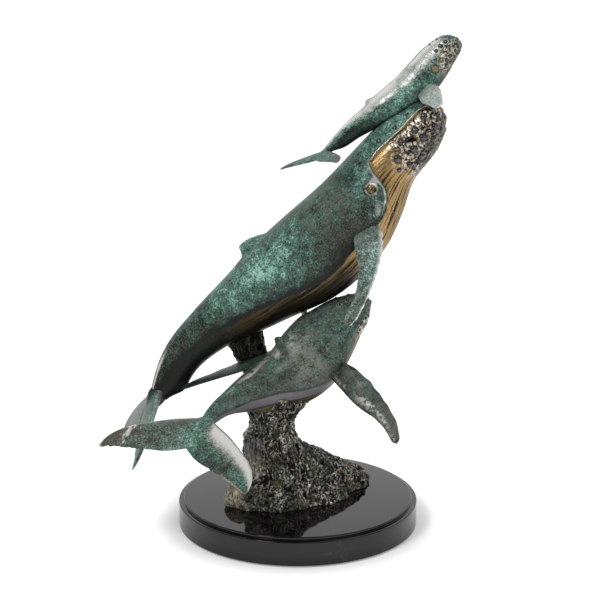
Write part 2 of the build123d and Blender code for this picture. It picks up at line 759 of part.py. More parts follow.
# Flippers: reach, chord, thickness and outline of each whale's pair
mother_sizes = (MOTHER_FLIPPER_LENGTH, MOTHER_FLIPPER_CHORD, MOTHER_FLIPPER_THICKNESS, slim_chord_shares)
escort_sizes = (ESCORT_FLIPPER_LENGTH, ESCORT_FLIPPER_CHORD, ESCORT_FLIPPER_THICKNESS, broad_chord_shares)
calf_sizes = (CALF_FLIPPER_LENGTH, CALF_FLIPPER_CHORD, CALF_FLIPPER_THICKNESS, broad_chord_shares)
flipper_plans = {
    "mother_right_flipper": (mother, mother_right_path_shares, mother_sizes, mother_right_lead_shares),
    "mother_left_flipper": (mother, mother_left_path_shares, mother_sizes, spread_lead_shares),
    "escort_right_flipper": (escort, escort_right_path_shares, escort_sizes, swept_lead_shares),
    "escort_left_flipper": (escort, escort_left_path_shares, escort_sizes, escort_left_lead_shares),
    "calf_right_flipper": (calf, calf_path_shares, calf_sizes, swept_lead_shares),
    "calf_left_flipper": (calf, calf_path_shares, calf_sizes, swept_lead_shares),
}
flippers = {}
for name, (whale, path_shares, sizes, lead_shares) in flipper_plans.items():
    spigot_radius = spigot_radii[name.split("_")[0]]
    flippers[name] = Flipper(whale, flipper_roots[name], path_shares, sizes, lead_shares, spigot_radius)

# Pins across the joints between the castings
tie_low = escort.skin(TIE_ESCORT_SHARE, TIE_ESCORT_DEGREES)
tie_pin = Pin(tie_low, mother.skin(TIE_MOTHER_SHARE, 180), PIN_RADIUS, PIN_DEPTH)
escort_pins = []
for along in escort_pin_shares:
    seat = escort.skin(along, 180)
    escort_pins.append(Pin(seat, seat + escort.axes(along)[1] * SOCKET_CLEARANCE, PIN_RADIUS, PIN_DEPTH))
calf_pins = []
for along in calf_pin_shares:
    seat = calf.skin(along, 180)
    calf_pins.append(Pin(seat, seat + crown_dorsal * SOCKET_CLEARANCE, CALF_PIN_RADIUS, CALF_PIN_DEPTH))
spur_low, spur_high = spur_line(mother)
spur_head = mother.skin(MOTHER_SPUR_SHARE, MOTHER_SPUR_DEGREES)
spur_run = (spur_high - spur_low).normalized()
spur_pin = Pin(spur_head, spur_head + spur_run * SOCKET_CLEARANCE, PIN_RADIUS, PIN_DEPTH)


def sockets(*pins):
    """All the holes for some pins."""
    return [pin.socket() for pin in pins]


def body(whale_name, whale, form, wall, pins):
    """Hollow casting with sockets for its flippers, its flukes and the pins that enter it."""
    holes = [flukes_spigot(whale, spigot_radii[whale_name], SOCKET_CLEARANCE)]
    for flipper_name, flipper in flippers.items():
        if flipper_name.startswith(whale_name):
            holes.append(flipper.spigot(SOCKET_CLEARANCE))
    return cut(form, *sockets(*pins), whale_hollow(whale, wall), *holes)


def flukes(whale, form, span, thickness, flex_degrees, spigot_radius):
    """Flukes cut to the tail stock, with their spigot."""
    lobes = cut(flukes_form(whale, span, thickness, flex_degrees), form)
    return lobes + flukes_spigot(whale, spigot_radius)


nodes = {
    "marble_base": marble_base(),
    "felt_pad": felt_pad(),
    "mounting_studs": Compound(studs()),
    "mounting_washers": Compound(washers()),
    "mounting_nuts": Compound(nuts()),
    "tie_pin": tie_pin.form(),
    "spur_pin": spur_pin.form(),
    "escort_pins": Compound([pin.form() for pin in escort_pins]),
    "calf_pins": Compound([pin.form() for pin in calf_pins]),
}
mother_pins = [tie_pin, spur_pin] + calf_pins
nodes["mother_body"] = body("mother", mother, mother_form, MOTHER_WALL, mother_pins)
nodes["escort_body"] = body("escort", escort, escort_form, ESCORT_WALL, [tie_pin] + escort_pins)
nodes["calf_body"] = body("calf", calf, calf_form, CALF_WALL, calf_pins)
fluke_plans = {
    "mother": (mother, mother_form, MOTHER_FLUKE_SPAN, MOTHER_FLUKE_THICKNESS),
    "escort": (escort, escort_form, ESCORT_FLUKE_SPAN, ESCORT_FLUKE_THICKNESS),
    "calf": (calf, calf_form, CALF_FLUKE_SPAN, CALF_FLUKE_THICKNESS),
}
for name, plan in fluke_plans.items():
    nodes[f"{name}_flukes"] = flukes(*plan, fluke_flex_degrees[name], spigot_radii[name])
for name, flipper in flippers.items():
    nodes[name] = trimmed(flipper.form(), mother_form, escort_form, calf_form) + flipper.spigot()
rock = rock_mound(escort_form)
near_flipper = flippers["escort_left_flipper"].form()
spur = trimmed(spur_form(mother), rock, escort_form, mother_form, near_flipper)
nodes["rock_mound"] = cut(rock, *sockets(*escort_pins))
nodes["rock_spur"] = cut(spur, *sockets(spur_pin))

os.makedirs("parts", exist_ok=True)
for name, shape in nodes.items():
    export_step(shape, f"parts/{name}.step")
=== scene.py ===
import math

import bmesh
import bpy
import numpy as np
from bpy.props import FloatProperty, FloatVectorProperty, IntProperty, PointerProperty
from bpy.types import Operator, Panel, PropertyGroup
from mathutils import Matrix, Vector, noise
from mathutils.kdtree import KDTree


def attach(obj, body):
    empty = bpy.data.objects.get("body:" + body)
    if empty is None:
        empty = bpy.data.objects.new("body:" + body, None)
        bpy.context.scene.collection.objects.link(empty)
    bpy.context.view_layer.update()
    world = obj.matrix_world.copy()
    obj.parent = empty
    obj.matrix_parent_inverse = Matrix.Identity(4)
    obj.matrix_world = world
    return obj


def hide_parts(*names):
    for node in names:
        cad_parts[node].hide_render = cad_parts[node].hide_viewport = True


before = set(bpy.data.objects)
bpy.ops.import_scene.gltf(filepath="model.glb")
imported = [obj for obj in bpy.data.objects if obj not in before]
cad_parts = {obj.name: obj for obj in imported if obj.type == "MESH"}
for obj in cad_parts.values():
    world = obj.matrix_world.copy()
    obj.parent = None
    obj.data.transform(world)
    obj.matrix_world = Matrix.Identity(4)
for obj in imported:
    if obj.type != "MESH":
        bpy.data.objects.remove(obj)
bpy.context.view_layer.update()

bl_info = {
    "name": "Bronze whale family",
    "version": (1, 0, 0),
    "blender": (4, 5, 0),
    "location": "3D View > Sidebar > Whales",
    "description": "Dresses the packed whale figurine: castings, rock, marble base and stage",
    "category": "Object",
}

# Base, in metres
BASE_RADIUS = 0.1143
SIDE_HEIGHT = 0.0235
STEP_INSET = 0.0048
STEP_HEIGHT = 0.0032
EDGE_ROUND = 0.0012
FELT_THICKNESS = 0.0015
FELT_INSET = 0.006
BASE_TOP = FELT_THICKNESS + SIDE_HEIGHT + STEP_HEIGHT

# Whales: nose to fluke root, and the places of their seats
MOTHER_LENGTH = 0.392
ESCORT_LENGTH = 0.211
CALF_LENGTH = 0.167
ESCORT_SEAT = (-0.006, -0.012, 0.1552)
MOTHER_SEAT = (-0.038, 0.021, 0.2272)
CALF_SEAT_SINK = 0.0008
MOTHER_SEAT_SHARE = 0.64
ESCORT_SEAT_SHARE = 0.50
CALF_SEAT_SHARE = 0.42
MOTHER_CROWN_SHARE = 0.065

# Spines in shares of the whale's length, from its seat: along, x, y, z, roll in degrees
mother_spine_shares = [
    (0.00, 0.443, -0.005, 0.438, 14),
    (0.05, 0.419, -0.005, 0.423, 16),
    (0.12, 0.373, -0.003, 0.372, 18),
    (0.22, 0.301, 0.000, 0.301, 20),
    (0.36, 0.209, 0.000, 0.189, 20),
    (0.50, 0.106, 0.000, 0.085, 16),
    (0.64, 0.000, 0.000, 0.000, 8),
    (0.78, -0.114, 0.000, -0.091, 4),
    (0.90, -0.196, 0.000, -0.182, 1),
    (1.00, -0.2460, -0.014, -0.264, -3),
]
escort_spine_shares = [
    (0.00, 0.351, 0.105, 0.312, 10),
    (0.05, 0.324, 0.096, 0.292, 10),
    (0.14, 0.266, 0.082, 0.240, 8),
    (0.28, 0.172, 0.053, 0.127, 4),
    (0.45, 0.043, 0.015, 0.022, 0),
    (0.62, -0.104, -0.047, -0.038, -6),
    (0.78, -0.222, -0.141, -0.067, -22),
    (0.90, -0.308, -0.236, -0.090, -34),
    (1.00, -0.376, -0.3375, -0.1225, -26),
]
calf_spine_shares = [
    (0.00, 0.312, 0.045, 0.297, 6),
    (0.05, 0.286, 0.039, 0.266, 6),
    (0.14, 0.215, 0.033, 0.189, 6),
    (0.28, 0.110, 0.014, 0.091, 4),
    (0.45, -0.022, -0.004, -0.018, 1),
    (0.62, -0.161, -0.022, -0.116, -1),
    (0.78, -0.289, -0.058, -0.187, -4),
    (0.90, -0.367, -0.119, -0.254, -5),
    (1.00, -0.4335, -0.206, -0.2935, -9),
]

# Girth in shares of the whale's length: along, half width, depth above and below the spine
mother_girth_shares = [
    (0.000, 0.008, 0.008, 0.010),
    (0.012, 0.024, 0.026, 0.022),
    (0.040, 0.042, 0.046, 0.036),
    (0.100, 0.062, 0.066, 0.056),
    (0.180, 0.078, 0.075, 0.070),
    (0.270, 0.092, 0.082, 0.104),
    (0.370, 0.102, 0.091, 0.131),
    (0.480, 0.104, 0.098, 0.131),
    (0.580, 0.092, 0.093, 0.110),
    (0.680, 0.072, 0.072, 0.089),
    (0.780, 0.050, 0.055, 0.065),
    (0.870, 0.033, 0.046, 0.050),
    (0.940, 0.022, 0.033, 0.046),
    (1.000, 0.014, 0.018, 0.024),
]
escort_girth_shares = [
    (0.000, 0.010, 0.010, 0.010),
    (0.012, 0.030, 0.030, 0.020),
    (0.040, 0.052, 0.054, 0.038),
    (0.100, 0.082, 0.088, 0.072),
    (0.180, 0.108, 0.134, 0.089),
    (0.270, 0.128, 0.172, 0.113),
    (0.370, 0.140, 0.176, 0.145),
    (0.480, 0.138, 0.155, 0.153),
    (0.580, 0.118, 0.113, 0.141),
    (0.680, 0.090, 0.098, 0.113),
    (0.780, 0.062, 0.084, 0.076),
    (0.870, 0.042, 0.072, 0.050),
    (0.940, 0.030, 0.056, 0.040),
    (1.000, 0.022, 0.030, 0.026),
]
calf_girth_shares = [
    (0.000, 0.012, 0.012, 0.012),
    (0.012, 0.030, 0.040, 0.030),
    (0.040, 0.046, 0.070, 0.046),
    (0.100, 0.066, 0.098, 0.066),
    (0.180, 0.084, 0.110, 0.090),
    (0.270, 0.097, 0.104, 0.109),
    (0.370, 0.101, 0.093, 0.101),
    (0.480, 0.097, 0.086, 0.083),
    (0.580, 0.085, 0.077, 0.070),
    (0.680, 0.066, 0.055, 0.076),
    (0.780, 0.047, 0.037, 0.072),
    (0.870, 0.032, 0.033, 0.054),
    (0.940, 0.023, 0.028, 0.025),
    (1.000, 0.016, 0.016, 0.018),
]

# Edge between the dark back and the pale jaw, throat and belly: share along, degrees from the back
mother_edge_shares = [
    (0.000, 44), (0.055, 50), (0.088, 56), (0.118, 62), (0.163, 65), (0.195, 67), (0.215, 72),
    (0.225, 79), (0.230, 92), (0.234, 108), (0.240, 122), (0.258, 133), (0.295, 139), (0.340, 136),
    (0.393, 131), (0.432, 133), (0.473, 134), (0.530, 127), (0.598, 118), (0.665, 112), (0.733, 107),
    (0.800, 100), (0.880, 98), (1.000, 98),
]
escort_edge_shares = [
    (0.000, 118), (0.070, 119), (0.122, 117), (0.200, 120), (0.247, 121), (0.305, 134), (0.362, 143),
    (0.415, 132), (0.478, 117), (0.570, 104), (0.680, 93), (0.782, 86), (0.880, 86), (1.000, 88),
]
calf_edge_shares = [
    (0.000, 46), (0.025, 54), (0.070, 63), (0.118, 71), (0.158, 78), (0.190, 98), (0.235, 124),
    (0.270, 146), (0.400, 150), (0.700, 140), (1.000, 130),
]

# Eyes: share along the whale and degrees from its back
mother_eye_share = (0.262, 106)
escort_eye_share = (0.275, 104)
calf_eye_share = (0.205, 98)

# Dorsal fins: along the whale, and length, height, width and rake in shares of its length
mother_fin_shares = (0.564, 0.105, 0.022, 0.024, 0.040)
escort_fin_shares = (0.476, 0.080, 0.030, 0.026, 0.026)
calf_fin_shares = (0.600, 0.080, 0.016, 0.022, 0.014)

# Flippers in shares of their reach from the root on the skin: along, outwards, dorsal, back
mother_right_path_shares = [
    (0.00, -0.130, 0.080, -0.050),
    (0.20, 0.028, -0.097, 0.069),
    (0.43, 0.076, -0.243, 0.212),
    (0.55, 0.083, -0.306, 0.309),
    (0.68, 0.079, -0.358, 0.417),
    (0.80, 0.065, -0.392, 0.532),
    (0.92, 0.036, -0.413, 0.648),
    (1.00, 0.017, -0.417, 0.735),
]
mother_left_path_shares = [
    (0.00, -0.080, 0.010, -0.020),
    (0.20, 0.160, 0.020, 0.060),
    (0.45, 0.400, 0.060, 0.190),
    (0.65, 0.540, 0.090, 0.330),
    (0.80, 0.610, 0.110, 0.450),
    (1.00, 0.660, 0.130, 0.600),
]
escort_right_path_shares = [
    (0.00, -0.120, 0.020, 0.100),
    (0.20, 0.130, -0.205, 0.085),
    (0.45, 0.250, -0.420, 0.090),
    (0.65, 0.317, -0.575, 0.090),
    (0.80, 0.350, -0.715, 0.115),
    (1.00, 0.359, -0.895, 0.200),
]
escort_left_path_shares = [
    (0.00, -0.080, -0.010, 0.030),
    (0.15, 0.025, 0.065, 0.224),
    (0.33, -0.020, 0.170, 0.434),
    (0.50, -0.040, 0.257, 0.644),
    (0.70, -0.030, 0.355, 0.882),
    (0.85, 0.000, 0.418, 1.049),
    (1.00, 0.050, 0.462, 1.195),
]
calf_path_shares = [
    (0.00, -0.150, -0.020, 0.200),
    (0.20, 0.180, -0.120, 0.200),
    (0.45, 0.400, -0.230, 0.200),
    (0.65, 0.560, -0.310, 0.210),
    (0.80, 0.680, -0.380, 0.230),
    (1.00, 0.770, -0.430, 0.270),
]

# Chord along a flipper, in shares of its widest chord, and its thickness share
slim_chord_shares = [
    (0.00, 0.75, 1.00),
    (0.20, 1.00, 0.95),
    (0.43, 0.75, 0.82),
    (0.55, 0.60, 0.74),
    (0.68, 0.48, 0.64),
    (0.80, 0.43, 0.54),
    (0.92, 0.38, 0.42),
    (0.97, 0.30, 0.34),
    (1.00, 0.16, 0.24),
]
broad_chord_shares = [
    (0.00, 0.72, 1.00),
    (0.15, 0.92, 0.97),
    (0.30, 1.00, 0.90),
    (0.50, 0.86, 0.78),
    (0.65, 0.68, 0.66),
    (0.80, 0.52, 0.54),
    (0.92, 0.38, 0.42),
    (0.97, 0.28, 0.34),
    (1.00, 0.16, 0.24),
]

# Flukes in shares of half the span: across, leading edge back, trailing edge back, thickness
fluke_outline_shares = [
    (0.00, -0.060, 0.385, 1.00),
    (0.08, -0.055, 0.435, 0.98),
    (0.20, -0.010, 0.495, 0.88),
    (0.38, 0.066, 0.545, 0.72),
    (0.60, 0.190, 0.600, 0.56),
    (0.80, 0.325, 0.655, 0.44),
    (0.91, 0.440, 0.695, 0.36),
    (0.97, 0.545, 0.715, 0.28),
    (1.00, 0.640, 0.725, 0.18),
]

# Knobs on the heads: share along, degrees from the back, size share
mother_knob_shares = [
    (0.128, 52, 0.9), (0.177, 54, 1.0), (0.085, 42, 0.8), (0.060, 74, 1.1), (0.058, 119, 1.1),
    (0.095, 85, 1.2), (0.095, 112, 1.2), (0.085, 138, 1.1), (0.138, 84, 1.0), (0.128, 114, 1.3),
    (0.170, 106, 1.3), (0.160, 134, 1.0), (0.130, 140, 1.1), (0.028, 91, 0.9), (0.052, 147, 0.9),
    (0.040, 110, 0.7), (0.185, 124, 0.8), (0.105, 152, 0.8),
    (0.070, 12, 0.7), (0.110, 10, 0.7), (0.150, 14, 0.6), (0.050, 30, 0.6), (0.125, 32, 0.6),
]
escort_knob_shares = [
    (0.060, 40, 0.8), (0.100, 44, 0.9), (0.140, 46, 0.8), (0.080, 12, 0.7), (0.130, 14, 0.7),
    (0.060, 130, 0.9), (0.095, 138, 0.9), (0.130, 132, 1.0), (0.075, 152, 0.8), (0.115, 154, 0.8),
    (0.160, 140, 0.8), (0.040, 110, 0.7),
]
calf_knob_shares = [
    (0.068, 56, 1.1), (0.098, 57, 1.2), (0.128, 60, 1.1), (0.060, 92, 0.8), (0.068, 116, 0.9),
    (0.100, 112, 1.0), (0.125, 108, 1.0), (0.145, 122, 0.9), (0.090, 136, 0.8), (0.118, 134, 0.8),
    (0.040, 104, 0.8), (0.090, 16, 0.7), (0.130, 18, 0.7), (0.050, 36, 0.7),
]

# Smooth frond and gilt lump on the rock, in metres
FROND_LOW = (-0.047, -0.0215, 0.087)
FROND_HIGH = (-0.041, -0.0215, 0.085)
BRONZE_LOW = (-0.038, -0.0230, 0.064)
BRONZE_HIGH = (-0.042, -0.0225, 0.072)
LUMP_LOW = (-0.058, -0.0255, 0.030)
LUMP_HIGH = (-0.058, -0.0250, 0.048)

# Details of the bodies, in metres: heights and depths
CAST_UNEVEN = 0.00010
CALF_UNEVEN = 0.00008
BLADE_UNEVEN = 0.00012
MOTHER_CRUST = 0.0007
ESCORT_CRUST = 0.0005
CALF_CRUST = 0.0004
MOTHER_RIM = 0.0006
ESCORT_RIM = 0.0004
CALF_RIM = 0.0003
KEEL_HEIGHT = 0.0006
CALF_KEEL = 0.0004
STOCK_BUMP = 0.0032
MOTHER_SHOULDER = 0.0035
MOTHER_SHOULDER_REACH = 0.017
ESCORT_SHOULDER = 0.003
ESCORT_SHOULDER_REACH = 0.013
WRINKLE_REACHES = (0.021, 0.026, 0.032)
WRINKLE_WIDTH = 0.0009
WRINKLE_DEPTH = 0.0005
FOLD_OFFSET = 0.0018
BAND_WIDTHS = (0.007, 0.022, 0.014, 0.010, 0.012)
RAGGED_COARSE = 0.004
RAGGED_FINE = 0.0025

# Soft edges from the pale underside's edge or the eye, in metres: where each starts and ends
PLEAT_EDGE = (0.0012, 0.0032)
ESCORT_PLEAT_EDGE = (0.010, 0.016)
MOTHER_JAW_EDGE = (0.0022, 0.0042)
ESCORT_JAW_EDGE = (0.001, 0.004)
CALF_JAW_EDGE = (0.0006, 0.002)
PALE_EDGE = (-0.0003, 0.0006)
DULL_EDGE = (-0.034, -0.008)
EYE_GOLD = (0.0048, 0.0068)
STRIPE_TOP_EDGE = (-0.0004, 0.0008)
STRIPE_FOOT_EDGE = (0.0095, 0.012)
BELLY_SHADE = (0.014, 0.022)

# Lines along the same edge or round the eye, in metres: middle and width
LIP_CREASE = (0.0031, 0.0006)
CORNER_CREASE = (0.0002, 0.0007)
LIP_LINE = (0.0006, 0.0008)
CORNER_LINE = (-0.0014, 0.0010)
CORNER_PATCH = (-0.007, 0.005)
EYE_RIM = (0.0076, 0.0009)
EYE_LID = (0.0054, 0.0010)
EYE_RING = (0.0037, 0.0006)
EYE_PUPIL = (0, 0.0014)
# Painted highlight beside the mother's eye
EYE_PAINTED_HIGHLIGHT = (0, 0.0034)
CALF_EYE = (0, 0.0032)
CALF_EYE_RIM = (0.0036, 0.0008)
STRIPE_TOP_LINE = (-0.0008, 0.0012)
STRIPE_FOOT_LINE = (0.0108, 0.0012)

# Rock, in metres: soft edges and reaches
WAIST_SIDE = (0.030, 0.050)
WAIST_FOOT = (0.089, 0.098)
WAIST_TOP = (0.136, 0.146)
COLLAR_RISE = (0.132, 0.142)
FOOT_RISE = (BASE_TOP + 0.0005, BASE_TOP + 0.004)
FROND_REACH = 0.010
LUMP_REACH = 0.016
BRONZE_REACH = 0.010
# Share of its colour that the spur keeps: painted shade
SPUR_PAINTED_SHADE_SHARE = 0.12
MERGE_GAP = 1e-6

# Stage, in metres
FLOOR_HALF = 6.0
# Reach of the painted shadow ring round the base
SHADOW_RING_REACH = 1.32 * BASE_RADIUS
KEY_PLACE = (-0.9, -1.2, 1.7)
KEY_TARGET = (0, 0, 0.25)
KEY_SIZE = 0.55
FILL_PLACE = (1.3, -1.1, 1.5)
FILL_TARGET = (0, 0, 0.22)
FILL_SIZE = 1.6

# Mesh fineness
TURNED_AXIS = 0.0004
BODY_STEPS = 510
BODY_POINTS = 190
BLADE_STEPS = 150
BLADE_POINTS = 56
TURNED_POINTS = 256

# Camera that the photograph was taken with, in metres, degrees and the sensor's millimetres
CAMERA_PLACE = (0.0021, -2.05734, 0.82712)
CAMERA_PITCH_DEGREES = 16.367
CAMERA_LENS = 137.1
CAMERA_SENSOR = 36.0


def smooth(table, keys):
    """Values at many keys on a smooth curve through the rows of a table (key, values...)."""
    rows = np.array(table, float)
    stops = rows[:, 0]
    values = rows[:, 1:]
    gaps = np.diff(stops)[:, None]
    slopes = np.diff(values, axis=0) / gaps
    inner = (slopes[:-1] * gaps[1:] + slopes[1:] * gaps[:-1]) / (gaps[:-1] + gaps[1:])
    tangents = np.vstack([slopes[:1], inner, slopes[-1:]])
    keys = np.asarray(keys, float)
    low = np.clip(np.searchsorted(stops, keys, side="right") - 1, 0, len(stops) - 2)
    step = gaps[low]
    t = (keys - stops[low])[..., None] / step
    start = (2 * t**3 - 3 * t**2 + 1) * values[low] + (t**3 - 2 * t**2 + t) * step * tangents[low]
    end = (3 * t**2 - 2 * t**3) * values[low + 1] + (t**3 - t**2) * step * tangents[low + 1]
    return start + end


def unit(vectors):
    return vectors / np.linalg.norm(vectors, axis=-1, keepdims=True)


def ease(low, high, values):
    """Smooth step from 0 at low to 1 at high."""
    t = np.clip((values - low) / (high - low), 0, 1)
    return t * t * (3 - 2 * t)


def bell(values, middle, width):
    """Rounded bump of height 1."""
    return np.exp(-(((values - middle) / width) ** 2))


class Whale:
    """One whale's spine, girth and place, as in the CAD model."""

    def __init__(self, length, seat, seat_share, spine_shares, girth_shares):
        self.length = length
        self.spine_shares = spine_shares
        self.girth_shares = girth_shares
        self.start = np.zeros(3)
        self.start = np.array(seat) - self.line(np.array(seat_share))

    def line(self, along):
        return self.start + smooth(self.spine_shares, along)[..., :3] * self.length

    def axes(self, along):
        """Forward, dorsal and left unit vectors of the body."""
        step_share = 0.001
        ahead = self.line(np.maximum(along - step_share, 0))
        behind = self.line(np.minimum(along + step_share, 1))
        forward = unit(ahead - behind)
        upright = unit(np.cross(forward, (0, 1, 0)))
        side = np.cross(upright, forward)
        roll = np.radians(smooth(self.spine_shares, along)[..., 3:])
        dorsal = upright * np.cos(roll) + side * np.sin(roll)
        return forward, dorsal, np.cross(dorsal, forward)

    def girth(self, along):
        return smooth(self.girth_shares, along) * self.length

    def skin(self, along, degrees):
        """Points of the skin: 0 degrees on the back, 90 on the right flank, 180 on the belly."""
        along, degrees = np.broadcast_arrays(np.asarray(along, float), np.asarray(degrees, float))
        forward, dorsal, left = self.axes(along)
        width, above, below = np.moveaxis(self.girth(along), -1, 0)
        turn = np.radians(degrees)
        depth = np.where(np.cos(turn) > 0, above, below) * np.cos(turn)
        across = width * np.sin(turn)
        return self.line(along) - left * across[..., None] + dorsal * depth[..., None]


mother = Whale(MOTHER_LENGTH, MOTHER_SEAT, MOTHER_SEAT_SHARE, mother_spine_shares, mother_girth_shares)
escort = Whale(ESCORT_LENGTH, ESCORT_SEAT, ESCORT_SEAT_SHARE, escort_spine_shares, escort_girth_shares)
crown = np.array(MOTHER_CROWN_SHARE)
calf_lift = mother.girth(crown)[1] - CALF_SEAT_SINK
calf_lift += smooth(calf_girth_shares, np.array(CALF_SEAT_SHARE))[2] * CALF_LENGTH
calf_seat = mother.line(crown) + mother.axes(crown)[1] * calf_lift
calf = Whale(CALF_LENGTH, calf_seat, CALF_SEAT_SHARE, calf_spine_shares, calf_girth_shares)


# Mesh helpers

def finished_piece(name, mesh, material, slot, *nodes):
    """Shown piece on the one rigid body, standing for its CAD nodes."""
    piece = bpy.data.objects.new(name, mesh)
    bpy.context.scene.collection.objects.link(piece)
    mesh.materials.clear()
    mesh.materials.append(material)
    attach(piece, "root")
    if nodes:
        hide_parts(*nodes)
    return piece


def tube_mesh(name, points, tones=None, finish=None):
    """Closed smooth mesh over rings of points, with a UV map along and round it, and its tones."""
    count, around = points.shape[:2]
    ring = np.arange(around)
    low = (np.arange(count - 1) * around)[:, None]
    quads = np.stack([low + ring, low + (ring + 1) % around], -1)
    quads = np.concatenate([quads, (quads + around)[..., ::-1]], -1).reshape(-1, 4)
    vertices = points.reshape(-1, 3)
    ends = np.array([points[0].mean(0), points[-1].mean(0)])
    first, last = len(vertices), len(vertices) + 1
    top = (count - 1) * around
    fans = [(first, (j + 1) % around, j) for j in range(around)]
    fans += [(last, top + j, top + (j + 1) % around) for j in range(around)]
    mesh = bpy.data.meshes.new(name)
    mesh.from_pydata(np.vstack([vertices, ends]).tolist(), [], quads.tolist() + fans)
    along = np.repeat(np.arange(count - 1), around)
    spin = np.tile(ring, count - 1)
    quad_uv = np.stack([along, spin, along, spin + 1, along + 1, spin + 1, along + 1, spin], -1)
    quad_uv = quad_uv.reshape(-1, 2) / (count - 1, around)
    fan_uv = [(0, (j + turn) / around) for j in range(around) for turn in (0.5, 1, 0)]
    fan_uv += [(1, (j + turn) / around) for j in range(around) for turn in (0.5, 0, 1)]
    layer = mesh.uv_layers.new(name="skin")
    layer.uv.foreach_set("vector", np.vstack([quad_uv, fan_uv]).astype(np.float32).ravel())
    for layer_name, values in (("tone", tones), ("finish", finish)):
        if values is None:
            continue
        colours = np.vstack([values.reshape(-1, 4), values[0].mean(0), values[-1].mean(0)])
        attribute = mesh.attributes.new(layer_name, "FLOAT_COLOR", "POINT")
        attribute.data.foreach_set("color", colours.astype(np.float32).ravel())
    outward(mesh)
    mesh.polygons.foreach_set("use_smooth", np.ones(len(mesh.polygons), bool))
    mesh.update()
    return mesh


def outward(mesh):
    """Turns a closed mesh's faces outwards."""
    work = bmesh.new()
    work.from_mesh(mesh)
    if work.calc_volume(signed=True) < 0:
        bmesh.ops.reverse_faces(work, faces=work.faces)
        work.to_mesh(mesh)
    work.free()


def grid_normals(points):
    """Outward unit normals of rings of points."""
    along = np.gradient(points, axis=0)
    padded = np.concatenate([points[:, -1:], points, points[:, :1]], 1)
    around = padded[:, 2:] - padded[:, :-2]
    normals = unit(np.cross(along, around) + 1e-15)
    outwards = ((points - points.mean(1, keepdims=True)) * normals).sum(-1)
    return normals * np.sign(outwards.sum())


def grain(points, scale, seed):
    """Smooth cast unevenness between -1 and 1 at each point."""
    flat = points.reshape(-1, 3) * scale + seed
    values = [noise.noise(Vector(place)) for place in flat]
    return np.array(values).reshape(points.shape[:-1])


def edge_gap(whale, edge_shares, along, folded, points):
    """Distance from each skin point to the edge of the pale underside, positive inside it."""
    stops = np.array(edge_shares)
    run = np.linspace(0, 1, 900)
    degrees = np.interp(run, stops[:, 0], stops[:, 1])
    # Dense samples also where the edge runs round the body
    count = 6000
    line = np.column_stack([run, degrees / 360])
    lengths = np.concatenate([[0], np.cumsum(np.linalg.norm(np.diff(line, axis=0), axis=1))])
    even = np.linspace(0, lengths[-1], count)
    run = np.interp(even, lengths, line[:, 0])
    degrees = np.interp(even, lengths, line[:, 1]) * 360
    tree = KDTree(2 * count)
    for side in (1, -1):
        for place in whale.skin(run, side * degrees):
            tree.insert(Vector(place), 0)
    tree.balance()
    gaps = np.array([tree.find(Vector(place))[2] for place in points.reshape(-1, 3)])
    inside = folded > np.interp(along, stops[:, 0], stops[:, 1])
    return np.where(inside, 1, -1) * gaps.reshape(points.shape[:-1])


# Whale bodies

class BodyGrid:
    """Fine grid over a whale's skin, with the measures that its details are drawn from."""

    def __init__(self, whale, edge_shares, eye_share):
        self.whale = whale
        spread = np.linspace(0, 1, BODY_STEPS)
        nose_share = 0.003
        run = nose_share + (1 - nose_share) * (0.78 * spread + 0.22 * spread**2)
        turn = np.arange(BODY_POINTS) * 360 / BODY_POINTS
        self.along, self.degrees = np.meshgrid(run, turn, indexing="ij")
        self.folded = np.where(self.degrees > 180, 360 - self.degrees, self.degrees)
        self.points = whale.skin(self.along, self.degrees)
        self.normals = grid_normals(self.points)
        self.gap = edge_gap(whale, edge_shares, self.along, self.folded, self.points)
        share, degrees = eye_share
        eyes = [whale.skin(share, side * degrees) for side in (1, -1)]
        gaps = [np.linalg.norm(self.points - eye, axis=-1) for eye in eyes]
        self.eye_gap = np.minimum(*gaps)

    def swell(self, heights):
        """Moves the skin out along its normals."""
        self.points = self.points + self.normals * heights[..., None]

    def fin(self, fin_shares):
        """Draws the low dorsal fin out of the back: a long rise and a steep rear edge."""
        along, length_share, height_share, width_share, rake_share = fin_shares
        length = self.whale.length
        forward, dorsal, left = self.whale.axes(self.along)
        peak = along + rake_share
        reach = np.where(self.along < peak, 0.66, 0.17) * length_share
        profile = np.cos(np.clip((self.along - peak) / reach, -1, 1) * math.pi / 2) ** 1.2
        away = np.radians(self.folded) * self.whale.girth(self.along)[..., 1]
        crest = bell(away, 0, width_share * length * 0.75)
        lift = profile * crest * height_share * length
        back = profile**2 * crest * rake_share * length * 0.15
        self.points = self.points + dorsal * lift[..., None] - forward * back[..., None]

    def knob_gap(self, knob_shares, radius):
        """Distance to the nearest knob, in that knob's radii."""
        gaps = np.full(self.along.shape, 9.0)
        for share, degrees, size in knob_shares:
            for side in (1, -1):
                place = self.whale.skin(share, side * degrees)
                away = np.linalg.norm(self.points - place, axis=-1) / (radius * size)
                gaps = np.minimum(gaps, away)
        return gaps

    def rim(self, knob_shares, radius):
        """Raised worn rims round the knobs."""
        gaps = self.knob_gap(knob_shares, radius)
        return bell(gaps, 1.35, 0.28)


def jaw_lines(grid, lip, eye_size):
    """Heights of the lip over the mouth line, the crease under it, and the eye with its lids."""
    mouth = 1 - ease(0.27, 0.33, grid.along)
    upper = 1 - ease(0.16, 0.21, grid.along)
    heights = lip * mouth * bell(grid.gap, 0.7 * lip, 0.7 * lip)
    heights -= 0.8 * lip * mouth * bell(grid.gap, -0.6 * lip, 0.7 * lip)
    heights -= 0.7 * lip * upper * bell(grid.gap, 2.6 * lip, 0.6 * lip)
    r = grid.eye_gap / eye_size
    heights += eye_size * (0.36 * bell(r, 0, 0.55) - 0.20 * bell(r, 0.85, 0.25))
    heights += eye_size * (0.14 * bell(r, 1.35, 0.25) + 0.08 * bell(r, 2.1, 0.30))
    return heights


